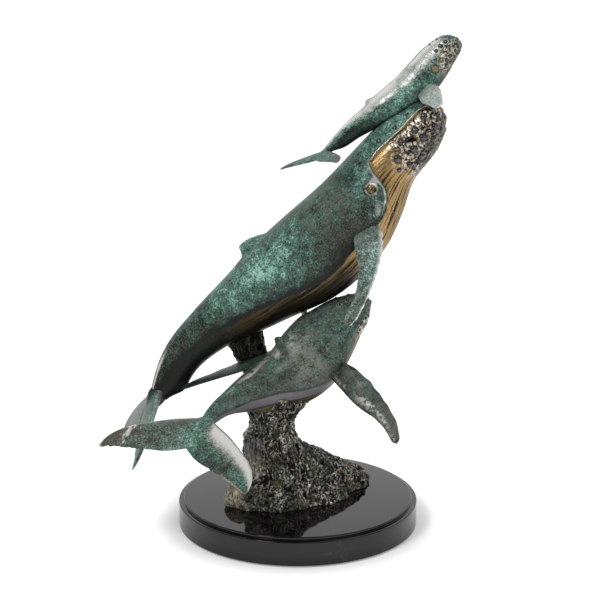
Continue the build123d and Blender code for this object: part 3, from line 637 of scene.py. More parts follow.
def pleats(grid, start_share, end_share, count):
    """Lengthwise throat grooves, 0 on the ribs and 1 in the grooves."""
    wave = 0.5 + 0.5 * np.cos(np.radians(grid.folded) * count * 2)
    along = ease(start_share, start_share + 0.06, grid.along)
    along = along * (1 - ease(end_share - 0.16, end_share, grid.along))
    return wave**2.2 * along * ease(*PLEAT_EDGE, grid.gap)


def tone_layers(gold, green, silver, shade):
    """Tones for the patina: gold, green, silver for wear and painted highlights, and dark marks with
    painted shade in the alpha channel.
    """
    return np.stack([np.clip(layer, 0, 1) for layer in (gold, green, silver, shade)], -1)


def finish_layers(crust, stripe, dusk):
    """Where the skin is a rough crust, a smooth grey stripe, and dusky olive under the green."""
    return np.stack([crust, stripe, np.clip(dusk, 0, 1), 0 * crust + 1], -1)


def mother_body(settings):
    """Mother: teal back, gold jaw and throat, dark band above the brown belly."""
    grid = BodyGrid(mother, mother_edge_shares, mother_eye_share)
    along, folded, gap = grid.along, grid.folded, grid.gap
    rim = grid.rim(mother_knob_shares, settings.knob_radius)
    grooves = pleats(grid, 0.17, 0.66, settings.pleat_count)
    jaw = (1 - ease(0.15, 0.20, along)) * ease(*MOTHER_JAW_EDGE, gap)
    bumps = grain(grid.points, 330, 3.1) * 0.6 + grain(grid.points, 720, 8.3) * 0.4
    heights = jaw_lines(grid, settings.lip_height, settings.eye_size)
    heights -= grooves * settings.pleat_depth
    heights += bumps * (CAST_UNEVEN + MOTHER_CRUST * jaw) + MOTHER_RIM * rim
    keel = bell(folded, 0, 9) + bell(folded, 180, 9)
    heights += keel * ease(0.72, 0.9, along) * KEEL_HEIGHT
    heights += STOCK_BUMP * bell(folded, 180, 24) * bell(along, 0.955, 0.022)
    # Crown that the calf lies along
    crown_swell = bell(along, 0.150, 0.055) * bell(folded, 0, 42)
    heights += crown_swell * settings.crown_swell
    # Shoulder that the flipper grows out of, with wrinkles round it
    wrinkles = 0 * along
    folds = 0 * along
    for side in (1, -1):
        root = mother.skin(0.318, side * 119)
        away = np.linalg.norm(grid.points - root, axis=-1)
        heights += MOTHER_SHOULDER * bell(away, 0, MOTHER_SHOULDER_REACH)
        for reach in WRINKLE_REACHES:
            wrinkles += bell(away, reach, WRINKLE_WIDTH) * bell(along, 0.285, 0.030)
            folds += bell(away, reach + FOLD_OFFSET, WRINKLE_WIDTH) * bell(along, 0.283, 0.030)
    heights -= WRINKLE_DEPTH * wrinkles
    grid.swell(heights)
    grid.fin(mother_fin_shares)
    inside = ease(*PALE_EDGE, gap)
    pale = inside * (1 - ease(0.66, 0.80, along))
    eye = 1 - ease(*EYE_GOLD, grid.eye_gap)
    gold = np.maximum(pale, 0.95 * eye)
    band_width = np.interp(along, [0.30, 0.40, 0.50, 0.60, 0.80], BAND_WIDTHS)
    ragged = grain(grid.points, 110, 17.3) * RAGGED_COARSE + grain(grid.points, 360, 19.1) * RAGGED_FINE
    band = ease(-1, -0.2, (gap + ragged) / band_width) * (1 - inside) * ease(0.28, 0.36, along)
    # Painted shade: the underside of the rear body is darker.
    under = ease(128, 172, folded) * ease(0.36, 0.50, along)
    # Painted shade on both flanks of the tail stock, easing off at its end.
    stock = ease(0.80, 0.95, along) * (1 - 0.7 * ease(0.97, 1.0, along)) * ease(50, 110, folded)
    shade = band + 0.75 * under + 0.6 * stock
    shade += inside * (0.62 * ease(0.38, 0.46, along) + 0.24 * ease(0.46, 0.58, along))
    shade += 0.40 * grooves + 0.3 * wrinkles
    crease = bell(gap, *LIP_CREASE) * (1 - ease(0.16, 0.21, along))
    crease += bell(gap, *CORNER_CREASE) * bell(along, 0.245, 0.045) * ease(0.20, 0.22, along)
    shade += 0.9 * crease + 0.3 * bell(grid.eye_gap, *EYE_RIM) + 0.7 * bell(grid.eye_gap, *EYE_PUPIL)
    shade += 0.45 * bell(grid.eye_gap, *EYE_RING)
    # Painted shade: the lower part of the rough jaw, towards the belly side, is darker.
    shade += 0.80 * ease(100, 138, folded) * (1 - ease(0.12, 0.19, along))
    spots = [0, 0.10, 0.25, 0.33, 0.40, 0.47, 0.55, 0.68, 0.78, 0.88, 1]
    green = np.interp(along, spots, [0.80, 0.80, 0.66, 0.46, 0.34, 0.72, 1.0, 0.94, 0.74, 0.5, 0.42])
    green = green - 0.35 * ease(*DULL_EDGE, gap) * ease(0.28, 0.36, along)
    lip_line = bell(gap, *LIP_LINE) * (1 - ease(0.20, 0.23, along))
    lip_line += bell(gap, *CORNER_LINE) * bell(along, 0.250, 0.035)
    # Painted highlight: a bright spot just above and ahead of the eye, in the silvery polish colour.
    share, degrees = mother_eye_share
    painted_highlight_gap = np.linalg.norm(grid.points - mother.skin(share - 0.017, degrees - 4), axis=-1)
    silver = 0.85 * lip_line + 0.22 * rim + 1.1 * bell(painted_highlight_gap, *EYE_PAINTED_HIGHLIGHT) + 0.22 * folds
    silver += 0.45 * bell(grid.eye_gap, *EYE_LID)
    silver += 0.45 * bell(gap, *CORNER_PATCH) * bell(along, 0.290, 0.022)
    # Painted highlight: a bright line along each side of the tail stock's back, in the silvery polish
    # colour.
    silver += 0.75 * bell(folded, 22, 13) * ease(0.86, 0.93, along)
    dusk = 0.75 * bell(along, 0.37, 0.07) * bell(folded, 66, 34)
    tones = tone_layers(gold, green, silver, shade)
    mesh = tube_mesh("mother_body_cast", grid.points, tones, finish_layers(jaw, 0 * jaw, dusk))
    return finished_piece("mother_body_cast", mesh, patina_bronze(), "patina_bronze", "mother_body")


def escort_body(settings):
    """Escort: grey-green, with a smooth grey stripe over the pleated belly."""
    grid = BodyGrid(escort, escort_edge_shares, escort_eye_share)
    along, folded, gap = grid.along, grid.folded, grid.gap
    rim = grid.rim(escort_knob_shares, settings.knob_radius * 0.7)
    grooves = pleats(grid, 0.12, 0.66, settings.pleat_count) * ease(*ESCORT_PLEAT_EDGE, gap)
    jaw = (1 - ease(0.16, 0.24, along)) * ease(*ESCORT_JAW_EDGE, gap)
    bumps = grain(grid.points, 330, 13.1) * 0.6 + grain(grid.points, 720, 28.3) * 0.4
    heights = 0.6 * jaw_lines(grid, settings.lip_height, settings.eye_size)
    heights -= 0.7 * grooves * settings.pleat_depth
    heights += bumps * (CAST_UNEVEN + ESCORT_CRUST * jaw) + ESCORT_RIM * rim
    keel = bell(folded, 0, 10) + bell(folded, 180, 10)
    heights += keel * ease(0.66, 0.86, along) * KEEL_HEIGHT
    for share, degrees in ((0.30, 128), (0.36, -78)):
        away = np.linalg.norm(grid.points - escort.skin(share, degrees), axis=-1)
        heights += ESCORT_SHOULDER * bell(away, 0, ESCORT_SHOULDER_REACH)
    grid.swell(heights)
    grid.fin(escort_fin_shares)
    below = ease(*STRIPE_FOOT_EDGE, gap)
    stripe = ease(*STRIPE_TOP_EDGE, gap) * (1 - below) * ease(0.34, 0.40, along)
    gold = 0.7 * jaw + 0.75 * below * (1 - ease(0.66, 0.76, along))
    edge_line = bell(gap, *STRIPE_TOP_LINE) + 1.2 * bell(gap, *STRIPE_FOOT_LINE)
    shade = 0.45 * ease(*BELLY_SHADE, gap) + 0.5 * grooves + 0.6 * edge_line * ease(0.32, 0.40, along)
    middle = bell(along, 0.42, 0.10) * bell(folded, 80, 38)
    green = 0.36 - 0.30 * middle + 0.36 * ease(0.66, 0.88, along) + 0.1 * (1 - ease(0.10, 0.30, along))
    silver = 0.10 + 0.14 * middle + 0.3 * rim - 0.1 * stripe
    broken = np.clip(0.55 + 1.6 * grain(grid.points, 210, 31.7), 0, 1)
    # Painted highlights: a broken bright line along the back ridge and a bright spot at the fin's root, in
    # the silvery polish colour.
    silver += 0.85 * bell(folded, 5, 6) * bell(along, 0.70, 0.15) * broken
    silver += 0.9 * bell(folded, 14, 12) * bell(along, 0.540, 0.016)
    silver += 0.35 * bell(folded, 30, 14) * bell(along, 0.42, 0.06) * broken
    shade += 0.7 * bell(folded, 0, 30) * bell(along, 0.500, 0.022)
    tones = tone_layers(gold, green, silver, shade)
    finish = finish_layers(jaw, stripe, 0.45 + 0.55 * middle)
    mesh = tube_mesh("escort_body_cast", grid.points, tones, finish)
    return finished_piece("escort_body_cast", mesh, patina_bronze(), "patina_bronze", "escort_body")


def calf_body(settings):
    """Calf: a broad painted highlight along the back in the silvery polish colour, over a teal flank with
    painted shade below, and a rough gold jaw.
    """
    grid = BodyGrid(calf, calf_edge_shares, calf_eye_share)
    along, folded, gap = grid.along, grid.folded, grid.gap
    rim = grid.rim(calf_knob_shares, settings.knob_radius * 0.6)
    jaw = (1 - ease(0.16, 0.24, along)) * ease(*CALF_JAW_EDGE, gap)
    bumps = grain(grid.points, 420, 43.1) * 0.6 + grain(grid.points, 900, 58.3) * 0.4
    heights = 0.5 * jaw_lines(grid, settings.lip_height, settings.eye_size)
    heights += bumps * (CALF_UNEVEN + CALF_CRUST * jaw) + CALF_RIM * rim
    keel = bell(folded, 0, 10) + bell(folded, 180, 10)
    heights += keel * ease(0.66, 0.86, along) * CALF_KEEL
    grid.swell(heights)
    grid.fin(calf_fin_shares)
    gold = np.maximum(0.8 * jaw, 0.95 * bell(grid.eye_gap, *CALF_EYE))
    # Painted highlight: a broad silver band along the back between these two edges, in degrees from the
    # back, broken by cloudy noise; the knob rims are added to it.
    sheen_low_edge = np.interp(along, [0, 0.15, 0.3, 0.6, 0.8, 1], [60, 82, 76, 64, 46, 28])
    sheen_high_edge = np.interp(along, [0, 0.25, 0.4, 1], [16, 12, 2, 0])
    silver = (1 - ease(-30, 22, folded - sheen_low_edge + 14 * bumps)) * ease(-6, 6, folded - sheen_high_edge)
    cloudy = grain(grid.points, 60, 71.3) + 0.6 * grain(grid.points, 170, 73.9)
    silver = silver * ease(0.02, 0.10, along) * (1 - jaw) * (0.74 + 0.40 * cloudy) + 0.35 * rim
    # Painted shade: darker on the rear lower flank and along the belly.
    shade = 0.75 * ease(0.50, 0.75, along) * ease(58, 96, folded) + 0.65 * ease(118, 160, folded)
    shade += 0.6 * bell(grid.eye_gap, *CALF_EYE_RIM)
    green = 0.82 - 0.5 * shade
    tones = tone_layers(gold, green, silver, shade)
    mesh = tube_mesh("calf_body_cast", grid.points, tones, finish_layers(jaw, 0 * jaw, 0 * jaw))
    return finished_piece("calf_body_cast", mesh, patina_bronze(), "patina_bronze", "calf_body")


# Flippers

class Blade:
    """One flipper: its root on a whale's skin, its path and its chord."""

    def __init__(self, whale, root, path_shares, sizes, lead_shares):
        share, degrees = root
        self.length, self.chord, self.thickness, self.chord_shares = sizes
        forward, dorsal, left = whale.axes(np.array(share))
        outward_way = left if degrees < 0 else -left
        self.root = whale.skin(share, degrees)
        self.steps = np.array([outward_way, dorsal, -forward])
        self.path_shares = path_shares
        self.lead = np.array(lead_shares) @ self.steps

    def line(self, along):
        return self.root + smooth(self.path_shares, along) @ self.steps * self.length

    def rings(self, knob_count, seed):
        """Rounded blade sections with a knobbed leading edge; also chord places and knob heights."""
        step_share = 0.01
        along = np.linspace(0, 1, BLADE_STEPS) ** 0.9
        middle = self.line(along)
        ahead = self.line(np.minimum(along + step_share, 1))
        behind = self.line(np.maximum(along - step_share, 0))
        run = unit(ahead - behind)
        lead = unit(self.lead - run * (run @ self.lead)[:, None])
        flat = np.cross(run, lead)
        chord, thickness = np.moveaxis(smooth(self.chord_shares, along), -1, 0)
        chord = chord * self.chord
        thickness = thickness * self.thickness
        draw = np.random.default_rng(seed)
        places = np.linspace(0.16, 0.97, knob_count) + draw.uniform(-0.015, 0.015, knob_count)
        sizes = draw.uniform(0.7, 1.1, knob_count)
        widths = 0.30 / knob_count
        knobs = sum(size * bell(along, place, widths) for place, size in zip(places, sizes))
        turn = np.arange(BLADE_POINTS) * 2 * math.pi / BLADE_POINTS
        chord_place = np.cos(turn)
        side = np.sin(turn) * (0.9 + 0.22 * chord_place)
        front = chord_place > 0
        reach = chord[:, None] / 2 * (1 + 0.10 * knobs[:, None] * front * chord_place**2)
        bulge = 1 + 0.25 * knobs[:, None] * ease(0.55, 0.95, chord_place)
        # Tip closes in a round
        close = np.sqrt(np.clip(1 - ease(0.955, 1.0, along) ** 2, 0.02, 1))[:, None]
        points = middle[:, None] + lead[:, None] * (reach * chord_place * close)[..., None]
        points = points + flat[:, None] * (thickness[:, None] / 2 * side * bulge * close)[..., None]
        return points, along[:, None] + 0 * reach, chord_place + 0 * reach, knobs[:, None] * front


# Flipper sizes in metres: length, widest chord, thickness; then the table of chords
mother_sizes = (0.112, 0.026, 0.009, slim_chord_shares)
mother_far_sizes = (0.111, 0.026, 0.009, slim_chord_shares)
escort_sizes = (0.096, 0.0245, 0.0075, broad_chord_shares)
escort_far_sizes = (0.099, 0.033, 0.0075, broad_chord_shares)
calf_sizes = (0.043, 0.0205, 0.0055, broad_chord_shares)
# Way of the leading edge: outwards, dorsal, back
mother_right_lead_shares = (0, -0.73, -0.64)
escort_left_lead_shares = (1, 0.10, 0)
spread_lead_shares = (0.4, 0, -1)
swept_lead_shares = (0, 0, -1)
blade_plans = {
    "mother_right_flipper": (
        mother, (0.335, 125), mother_right_path_shares, mother_sizes, mother_right_lead_shares,
    ),
    "mother_left_flipper": (
        mother, (0.335, -110), mother_left_path_shares, mother_far_sizes, spread_lead_shares,
    ),
    "escort_right_flipper": (
        escort, (0.300, 130), escort_right_path_shares, escort_sizes, swept_lead_shares,
    ),
    "escort_left_flipper": (
        escort, (0.360, -75), escort_left_path_shares, escort_far_sizes, escort_left_lead_shares,
    ),
    "calf_right_flipper": (
        calf, (0.270, 115), calf_path_shares, calf_sizes, swept_lead_shares,
    ),
    "calf_left_flipper": (
        calf, (0.280, -115), calf_path_shares, calf_sizes, swept_lead_shares,
    ),
}


def flipper(name, settings):
    """Knobbed flipper, pale along the worn leading edge and dark at the root."""
    blade = Blade(*blade_plans[name])
    seed = sorted(blade_plans).index(name)
    knob_count = settings.flipper_knobs
    if name.startswith("escort"):
        knob_count = knob_count // 2
    points, along, chord_place, knobs = blade.rings(knob_count, seed)
    crust = grain(points, 420, seed + 0.7)
    points = points + grid_normals(points) * (crust * BLADE_UNEVEN)[..., None]
    edge = ease(0.72, 0.98, chord_place)
    gold = 0 * along
    dusk = 0 * along
    if name.startswith("calf"):
        green = 1.15 + 0 * along
        silver = 0.50 + 0.25 * edge
        shade = 0 * along
    elif name == "escort_right_flipper":
        green = 0.16 + 0.16 * bell(along, 0.55, 0.3)
        blotches = np.clip(0.5 + 1.3 * grain(points, 260, 5.9) + 0.9 * grain(points, 700, 6.3), 0, 1)
        streak = 0.9 * bell(chord_place, -0.66, 0.16) * bell(along, 0.14, 0.06)
        outer = ease(0.24, 0.42, along) * (1 - 0.5 * ease(0.7, 0.8, along))
        streak += bell(chord_place, -0.36, 0.36) * outer
        streak += 0.9 * bell(chord_place, -0.50, 0.25) * bell(along, 0.90, 0.05)
        silver = 0.06 + 0.85 * streak * blotches + 0.25 * crust * ease(0.3, 0.7, along)
        shade = 0.12 + 0.6 * ease(0.80, 0.95, -chord_place) + 0.3 * crust
        dusk = 0.75 + 0 * along
    elif name == "escort_left_flipper":
        green = 0.66 - 0.40 * ease(0.2, 0.6, along)
        silver = 0.25 * edge
        shade = 0.15 + 0.25 * ease(0.4, 1.0, along)
    else:
        green = 0.80 - 0.25 * ease(0.5, 1.0, along)
        silver = 0.28 + 0.70 * edge * (0.3 + 0.7 * np.clip(knobs, 0, 1))
        shade = 0.35 * (1 - ease(0.05, 0.25, along))
    tones = tone_layers(gold, green, silver, shade)
    piece_name = name + "_cast"
    mesh = tube_mesh(piece_name, points, tones, finish_layers(0 * along, 0 * along, dusk))
    return finished_piece(piece_name, mesh, patina_bronze(), "patina_bronze", name)


# Flukes: whale, span and thickness in metres, and the degrees that they bend up

fluke_plans = {
    "mother_flukes": (mother, 0.166, 0.010, 2.2),
    "escort_flukes": (escort, 0.1646, 0.009, 15),
    "calf_flukes": (calf, 0.0732, 0.005, -1.5),
}


def flukes(name):
    """Both fluke lobes from tip to tip, with a notched and ragged trailing edge."""
    whale, span, thickness, flex_degrees = fluke_plans[name]
    forward, dorsal, left = whale.axes(np.array(1.0))
    flex = math.radians(flex_degrees)
    forward = forward * math.cos(flex) + dorsal * math.sin(flex)
    dorsal = np.cross(forward, left)
    half = span / 2
    spread = np.linspace(-1, 1, 2 * BLADE_STEPS + 1)
    across = np.sign(spread) * np.abs(spread) ** 0.92
    front, rear, thick = np.moveaxis(smooth(fluke_outline_shares, np.abs(across)), -1, 0)
    front = front - 0.10 * bell(across, 0, 0.06)
    seed = sorted(fluke_plans).index(name)
    draw = np.random.default_rng(seed + 40)
    places = draw.uniform(0.1, 0.95, 26) * draw.choice([-1, 1], 26)
    ragged = sum(draw.uniform(-0.4, 1) * bell(across, place, 0.022) for place in places)
    rear = rear - 0.012 * ragged * (1 - ease(0.9, 1.0, np.abs(across)))
    turn = np.arange(BLADE_POINTS) * 2 * math.pi / BLADE_POINTS
    chord_place = np.cos(turn)
    side = np.sin(turn) * (0.9 + 0.22 * chord_place)
    close = np.sqrt(np.clip(1 - ease(0.965, 1.0, np.abs(across)) ** 2, 0.02, 1))[:, None]
    middle_back = ((front + rear) / 2)[:, None]
    reach = ((rear - front) / 2)[:, None]
    back = middle_back - reach * chord_place * close
    # The tail stock runs out over the middle of the flukes
    width, above, below = whale.girth(np.array(0.985))
    tongue = (above + below) / 2 * bell(across * half, 0, 1.15 * width)[:, None]
    tongue = tongue * (1 - ease(-0.02, 0.34, back))
    blade_depth = thick[:, None] * thickness / 2
    lift = side * close * (blade_depth**4 + tongue**4) ** 0.25
    tail = whale.line(np.array(1.0))
    points = tail + left * (across[:, None] * half + 0 * back)[..., None]
    points = points - forward * (back * half)[..., None] + dorsal * lift[..., None]
    crust = grain(points, 420, seed + 5.3)
    points = points + grid_normals(points) * (crust * BLADE_UNEVEN)[..., None]
    wide = across[:, None] + 0 * back
    edge = ease(0.70, 0.98, chord_place) + 0 * back
    tones = tone_layers(*fluke_tones(name, wide, edge, chord_place + 0 * back, crust))
    piece_name = name + "_cast"
    mesh = tube_mesh(piece_name, points, tones)
    return finished_piece(piece_name, mesh, patina_bronze(), "patina_bronze", name)


def fluke_tones(name, wide, edge, chord_place, crust):
    """Gold, green, silver and shade over a pair of flukes; wide is 1 at the whale's left tip."""
    if name == "escort_flukes":
        tip = ease(0.72, 0.80, wide + 0.10 * crust)
        right = ease(0.04, 0.24, -wide)
        band = ease(-0.38, 0.85, chord_place + 0.16 * crust) * right
        root = bell(wide, 0, 0.16)
        rim = ease(0.86, 0.98, -chord_place) * ease(0.4, 0.7, -wide)
        patch = bell(wide + 0.06 * crust, 0.77, 0.022) * ease(-0.9, 0.1, chord_place + 0.8 * crust)
        patch = np.maximum(patch, 0.8 * ease(0.955, 0.985, wide + 0.02 * crust))
        gold = 0.75 * patch + 0.45 * rim
        green = 0.46 + 0.44 * root - 0.3 * tip
        silver = 0.08 + 0.16 * ease(-0.1, 0.1, wide) + 0.2 * edge + 0.9 * band + 0.35 * rim + 0.55 * patch
        return gold + 0.18 * tip, green, silver, 0.45 * tip * (1 - patch) + 0.05
    if name == "mother_flukes":
        # Painted sheen: the left lobe is greyer and more silvery; painted shade darkens the middle where
        # the stock runs out.
        far = ease(0.15, 0.60, wide)
        stock = bell(wide, 0, 0.09)
        return 0.08 * far, 0.66 - 0.25 * far, 0.35 * edge + 0.20 * far, 0.12 + 0.45 * stock
    tip = ease(0.45, 0.9, np.abs(wide))
    return 0.2 * tip, 0.86 - 0.5 * tip, 0.15 * edge + 0.15 * tip, 0.25 * tip


# Head knobs

def knob_tree():
    """Geometry Nodes: a flattened dome on every point, sized and turned by the point's attributes."""
    tree = bpy.data.node_groups.new("head_knobs", "GeometryNodeTree")
    face = tree.interface
    face.new_socket("Geometry", in_out="INPUT", socket_type="NodeSocketGeometry")
    face.new_socket("Knob radius", in_out="INPUT", socket_type="NodeSocketFloat")
    face.new_socket("Material", in_out="INPUT", socket_type="NodeSocketMaterial")
    face.new_socket("Geometry", in_out="OUTPUT", socket_type="NodeSocketGeometry")
    nodes, links = tree.nodes, tree.links
    source = nodes.new("NodeGroupInput")
    target = nodes.new("NodeGroupOutput")
    dome = nodes.new("GeometryNodeMeshIcoSphere")
    dome.inputs["Subdivisions"].default_value = 3
    links.new(source.outputs["Knob radius"], dome.inputs["Radius"])
    flat = nodes.new("GeometryNodeTransform")
    flat.inputs["Scale"].default_value = (1, 1, 0.66)
    links.new(dome.outputs["Mesh"], flat.inputs["Geometry"])
    height = nodes.new("ShaderNodeSeparateXYZ")
    links.new(nodes.new("GeometryNodeInputPosition").outputs["Position"], height.inputs["Vector"])
    share = nodes.new("ShaderNodeMath")
    share.operation = "DIVIDE"
    links.new(height.outputs["Z"], share.inputs[0])
    links.new(source.outputs["Knob radius"], share.inputs[1])
    # Height on the dome, which the knob material turns into a painted highlight on its top
    top = nodes.new("GeometryNodeStoreNamedAttribute")
    top.inputs["Name"].default_value = "top"
    links.new(flat.outputs["Geometry"], top.inputs["Geometry"])
    links.new(share.outputs["Value"], top.inputs["Value"])
    size = nodes.new("GeometryNodeInputNamedAttribute")
    size.data_type = "FLOAT"
    size.inputs["Name"].default_value = "size"
    way = nodes.new("GeometryNodeInputNamedAttribute")
    way.data_type = "FLOAT_VECTOR"
    way.inputs["Name"].default_value = "way"
    turn = nodes.new("FunctionNodeAlignRotationToVector")
    turn.axis = "Z"
    links.new(way.outputs["Attribute"], turn.inputs["Vector"])
    place = nodes.new("GeometryNodeInstanceOnPoints")
    links.new(source.outputs["Geometry"], place.inputs["Points"])
    links.new(top.outputs["Geometry"], place.inputs["Instance"])
    links.new(turn.outputs["Rotation"], place.inputs["Rotation"])
    links.new(size.outputs["Attribute"], place.inputs["Scale"])
    real = nodes.new("GeometryNodeRealizeInstances")
    links.new(place.outputs["Instances"], real.inputs["Geometry"])
    smooth_faces = nodes.new("GeometryNodeSetShadeSmooth")
    links.new(real.outputs["Geometry"], smooth_faces.inputs["Geometry"])
    paint = nodes.new("GeometryNodeSetMaterial")
    links.new(smooth_faces.outputs["Geometry"], paint.inputs["Geometry"])
    links.new(source.outputs["Material"], paint.inputs["Material"])
    links.new(paint.outputs["Geometry"], target.inputs["Geometry"])
    return tree


def head_knobs(name, whale, knob_shares, radius, tree):
    """Knobs on both sides of one whale's head."""
    rows = np.array(list(knob_shares) + [(a, -d, k) for a, d, k in knob_shares])
    places = whale.skin(rows[:, 0], rows[:, 1])
    ahead = whale.skin(rows[:, 0] + 0.002, rows[:, 1]) - whale.skin(rows[:, 0] - 0.002, rows[:, 1])
    round_way = whale.skin(rows[:, 0], rows[:, 1] + 1) - whale.skin(rows[:, 0], rows[:, 1] - 1)
    ways = unit(np.cross(ahead, round_way))
    centre = whale.line(rows[:, 0])
    ways = ways * np.sign(((places - centre) * ways).sum(-1))[:, None]
    mesh = bpy.data.meshes.new(name + "_points")
    mesh.from_pydata(places.tolist(), [], [])
    mesh.attributes.new("size", "FLOAT", "POINT").data.foreach_set("value", rows[:, 2].astype(np.float32))
    way = mesh.attributes.new("way", "FLOAT_VECTOR", "POINT")
    way.data.foreach_set("vector", ways.astype(np.float32).ravel())
    holder = bpy.data.objects.new(name + "_points", mesh)
    bpy.context.scene.collection.objects.link(holder)
    modifier = holder.modifiers.new("head_knobs", "NODES")
    modifier.node_group = tree
    material = knob_bronze()
    values = {"Knob radius": radius, "Material": material}
    for socket in tree.interface.items_tree:
        if socket.in_out == "INPUT" and socket.name in values:
            modifier[socket.identifier] = values[socket.name]
    shown = bpy.data.meshes.new_from_object(holder.evaluated_get(bpy.context.evaluated_depsgraph_get()))
    bpy.data.objects.remove(holder)
    return finished_piece(name, shown, material, "patina_bronze")


# Rock

def crusted_rock(node_name, piece_name, voxel, depth, waist):
    """Fine copy of a rock casting with a coarse fibrous crust."""
    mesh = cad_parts[node_name].data.copy()
    work = bmesh.new()
    work.from_mesh(mesh)
    bmesh.ops.remove_doubles(work, verts=work.verts, dist=MERGE_GAP)
    work.to_mesh(mesh)
    work.free()
    holder = bpy.data.objects.new(piece_name + "_block", mesh)
    bpy.context.scene.collection.objects.link(holder)
    remesh = holder.modifiers.new("even", "REMESH")
    remesh.mode = "VOXEL"
    remesh.voxel_size = voxel
    shown = bpy.data.meshes.new_from_object(holder.evaluated_get(bpy.context.evaluated_depsgraph_get()))
    bpy.data.objects.remove(holder)
    count = len(shown.vertices)
    places = np.empty(count * 3, np.float32)
    normals = np.empty(count * 3, np.float32)
    shown.vertices.foreach_get("co", places)
    shown.vertices.foreach_get("normal", normals)
    places, normals = places.reshape(-1, 3).astype(float), normals.reshape(-1, 3).astype(float)
    x, y, z = places.T
    places[:, 0] += waist * ease(*WAIST_SIDE, -x) * ease(*WAIST_FOOT, z) * (1 - ease(*WAIST_TOP, z))
    sleek = near_line(places, FROND_LOW, FROND_HIGH, FROND_REACH)
    collar = 0.5 * ease(*COLLAR_RISE, z) * (waist > 0)
    gilt = np.maximum(near_line(places, LUMP_LOW, LUMP_HIGH, LUMP_REACH), collar)
    bronze = near_line(places, BRONZE_LOW, BRONZE_HIGH, BRONZE_REACH) * (waist > 0)
    gilt = np.maximum(gilt, 0.30 * bronze)
    relief = rock_relief(places) * (1 - 0.8 * sleek)
    heights = relief * depth
    # The foot stays flat on the marble
    heights *= ease(*FOOT_RISE, places[:, 2])
    moved = places + normals * heights[:, None]
    moved[:, 2] = np.maximum(moved[:, 2], np.minimum(places[:, 2], BASE_TOP))
    shown.vertices.foreach_set("co", moved.astype(np.float32).ravel())
    shown.polygons.foreach_set("use_smooth", np.ones(len(shown.polygons), bool))
    # Painted shade: the spur, behind the escort, keeps only a small share of its green, rust and pale
    # flecks.
    rub = np.full(count, 1.0 if waist > 0 else SPUR_PAINTED_SHADE_SHARE)
    tones = np.stack([0.5 + 0.5 * relief, sleek, gilt, rub], -1)
    layer = shown.attributes.new("tone", "FLOAT_COLOR", "POINT")
    layer.data.foreach_set("color", np.clip(tones, 0, 1).astype(np.float32).ravel())
    shown.update()
    return finished_piece(piece_name, shown, rock_bronze(), "rock_bronze", node_name)


def near_line(places, low, high, reach):
    """1 on a line between two points, fading to 0 at a distance."""
    low, high = np.array(low), np.array(high)
    run = high - low
    share = np.clip((places - low) @ run / (run @ run), 0, 1)
    gaps = np.linalg.norm(places - low - share[:, None] * run, axis=1)
    return 1 - ease(0.75 * reach, reach, gaps)


def rock_relief(places):
    """Fibres that lean up the rock, broken by pits and lumps, about -1 to 1."""
    values = np.empty(len(places))
    for row, (x, y, z) in enumerate(places):
        warp = noise.noise(Vector((x * 60, y * 60, z * 60))) * 1.8
        fibre = noise.noise(Vector((x * 130 + warp, y * 130 - warp, z * 60 + warp)))
        fine = noise.noise(Vector((x * 270 + warp, y * 270, z * 150 - warp)))
        lump = noise.noise(Vector((x * 90 + 7, y * 90, z * 90)))
        values[row] = 0.60 * (1 - 2.4 * abs(fibre)) + 0.40 * (1 - 2.4 * abs(fine)) + 0.4 * lump - 0.42
    return values


# Marble base and felt

def rounded(corners):
    """Profile through corners (radius, height, rounding), each turned into a small arc."""
    outline = []
    for index, (r, z, rounding) in enumerate(corners):
        here = np.array((r, z))
        if rounding == 0 or index in (0, len(corners) - 1):
            outline.append(here)
            continue
        before = unit(np.array(corners[index - 1][:2]) - here)
        after = unit(np.array(corners[index + 1][:2]) - here)
        start, end = here + before * rounding, here + after * rounding
        for t in np.linspace(0, 1, 7):
            outline.append((1 - t) ** 2 * start + 2 * t * (1 - t) * here + t**2 * end)
    return np.array(outline)


def turned(name, profile):
    """Closed body turned from a profile that starts and ends at the axis."""
    angle = np.arange(TURNED_POINTS) * 2 * math.pi / TURNED_POINTS
    ring = np.stack([np.cos(angle), np.sin(angle)], -1)
    flat = profile[:, None, :1] * ring[None]
    height = np.broadcast_to(profile[:, None, 1:], flat.shape[:2] + (1,))
    return tube_mesh(name, np.concatenate([flat, height], -1))


def marble_disc():
    side_top = FELT_THICKNESS + SIDE_HEIGHT
    inner = BASE_RADIUS - STEP_INSET
    corners = [
        (TURNED_AXIS, FELT_THICKNESS, 0),
        (BASE_RADIUS, FELT_THICKNESS, EDGE_ROUND),
        (BASE_RADIUS, side_top, EDGE_ROUND),
        (inner, side_top, EDGE_ROUND / 3),
        (inner, BASE_TOP, EDGE_ROUND),
        (TURNED_AXIS, BASE_TOP, 0),
    ]
    mesh = turned("marble_disc", rounded(corners))
    sharpen(mesh)
    return finished_piece("marble_disc", mesh, black_marble(), "black_marble", "marble_base")


def felt_disc():
    edge = BASE_RADIUS - FELT_INSET
    rounding = FELT_THICKNESS / 4
    corners = [
        (TURNED_AXIS, 0, 0),
        (edge, 0, rounding),
        (edge, FELT_THICKNESS, rounding),
        (TURNED_AXIS, FELT_THICKNESS, 0),
    ]
    mesh = turned("felt_disc", rounded(corners))
    sharpen(mesh)
    return finished_piece("felt_disc", mesh, felt_cloth(), "felt", "felt_pad")


def sharpen(mesh):
    """Flat faces stay flat beside the small rounds."""
    limit = math.radians(25)
    work = bmesh.new()
    work.from_mesh(mesh)
    for edge in work.edges:
        edge.smooth = edge.calc_face_angle(0) < limit
    work.to_mesh(mesh)
    work.free()


# Material helpers

def new_material(name):
    """Fresh node material and its Principled shader."""
    material = bpy.data.materials.new(name)
    material.use_nodes = True
    return material, material.node_tree, material.node_tree.nodes["Principled BSDF"]


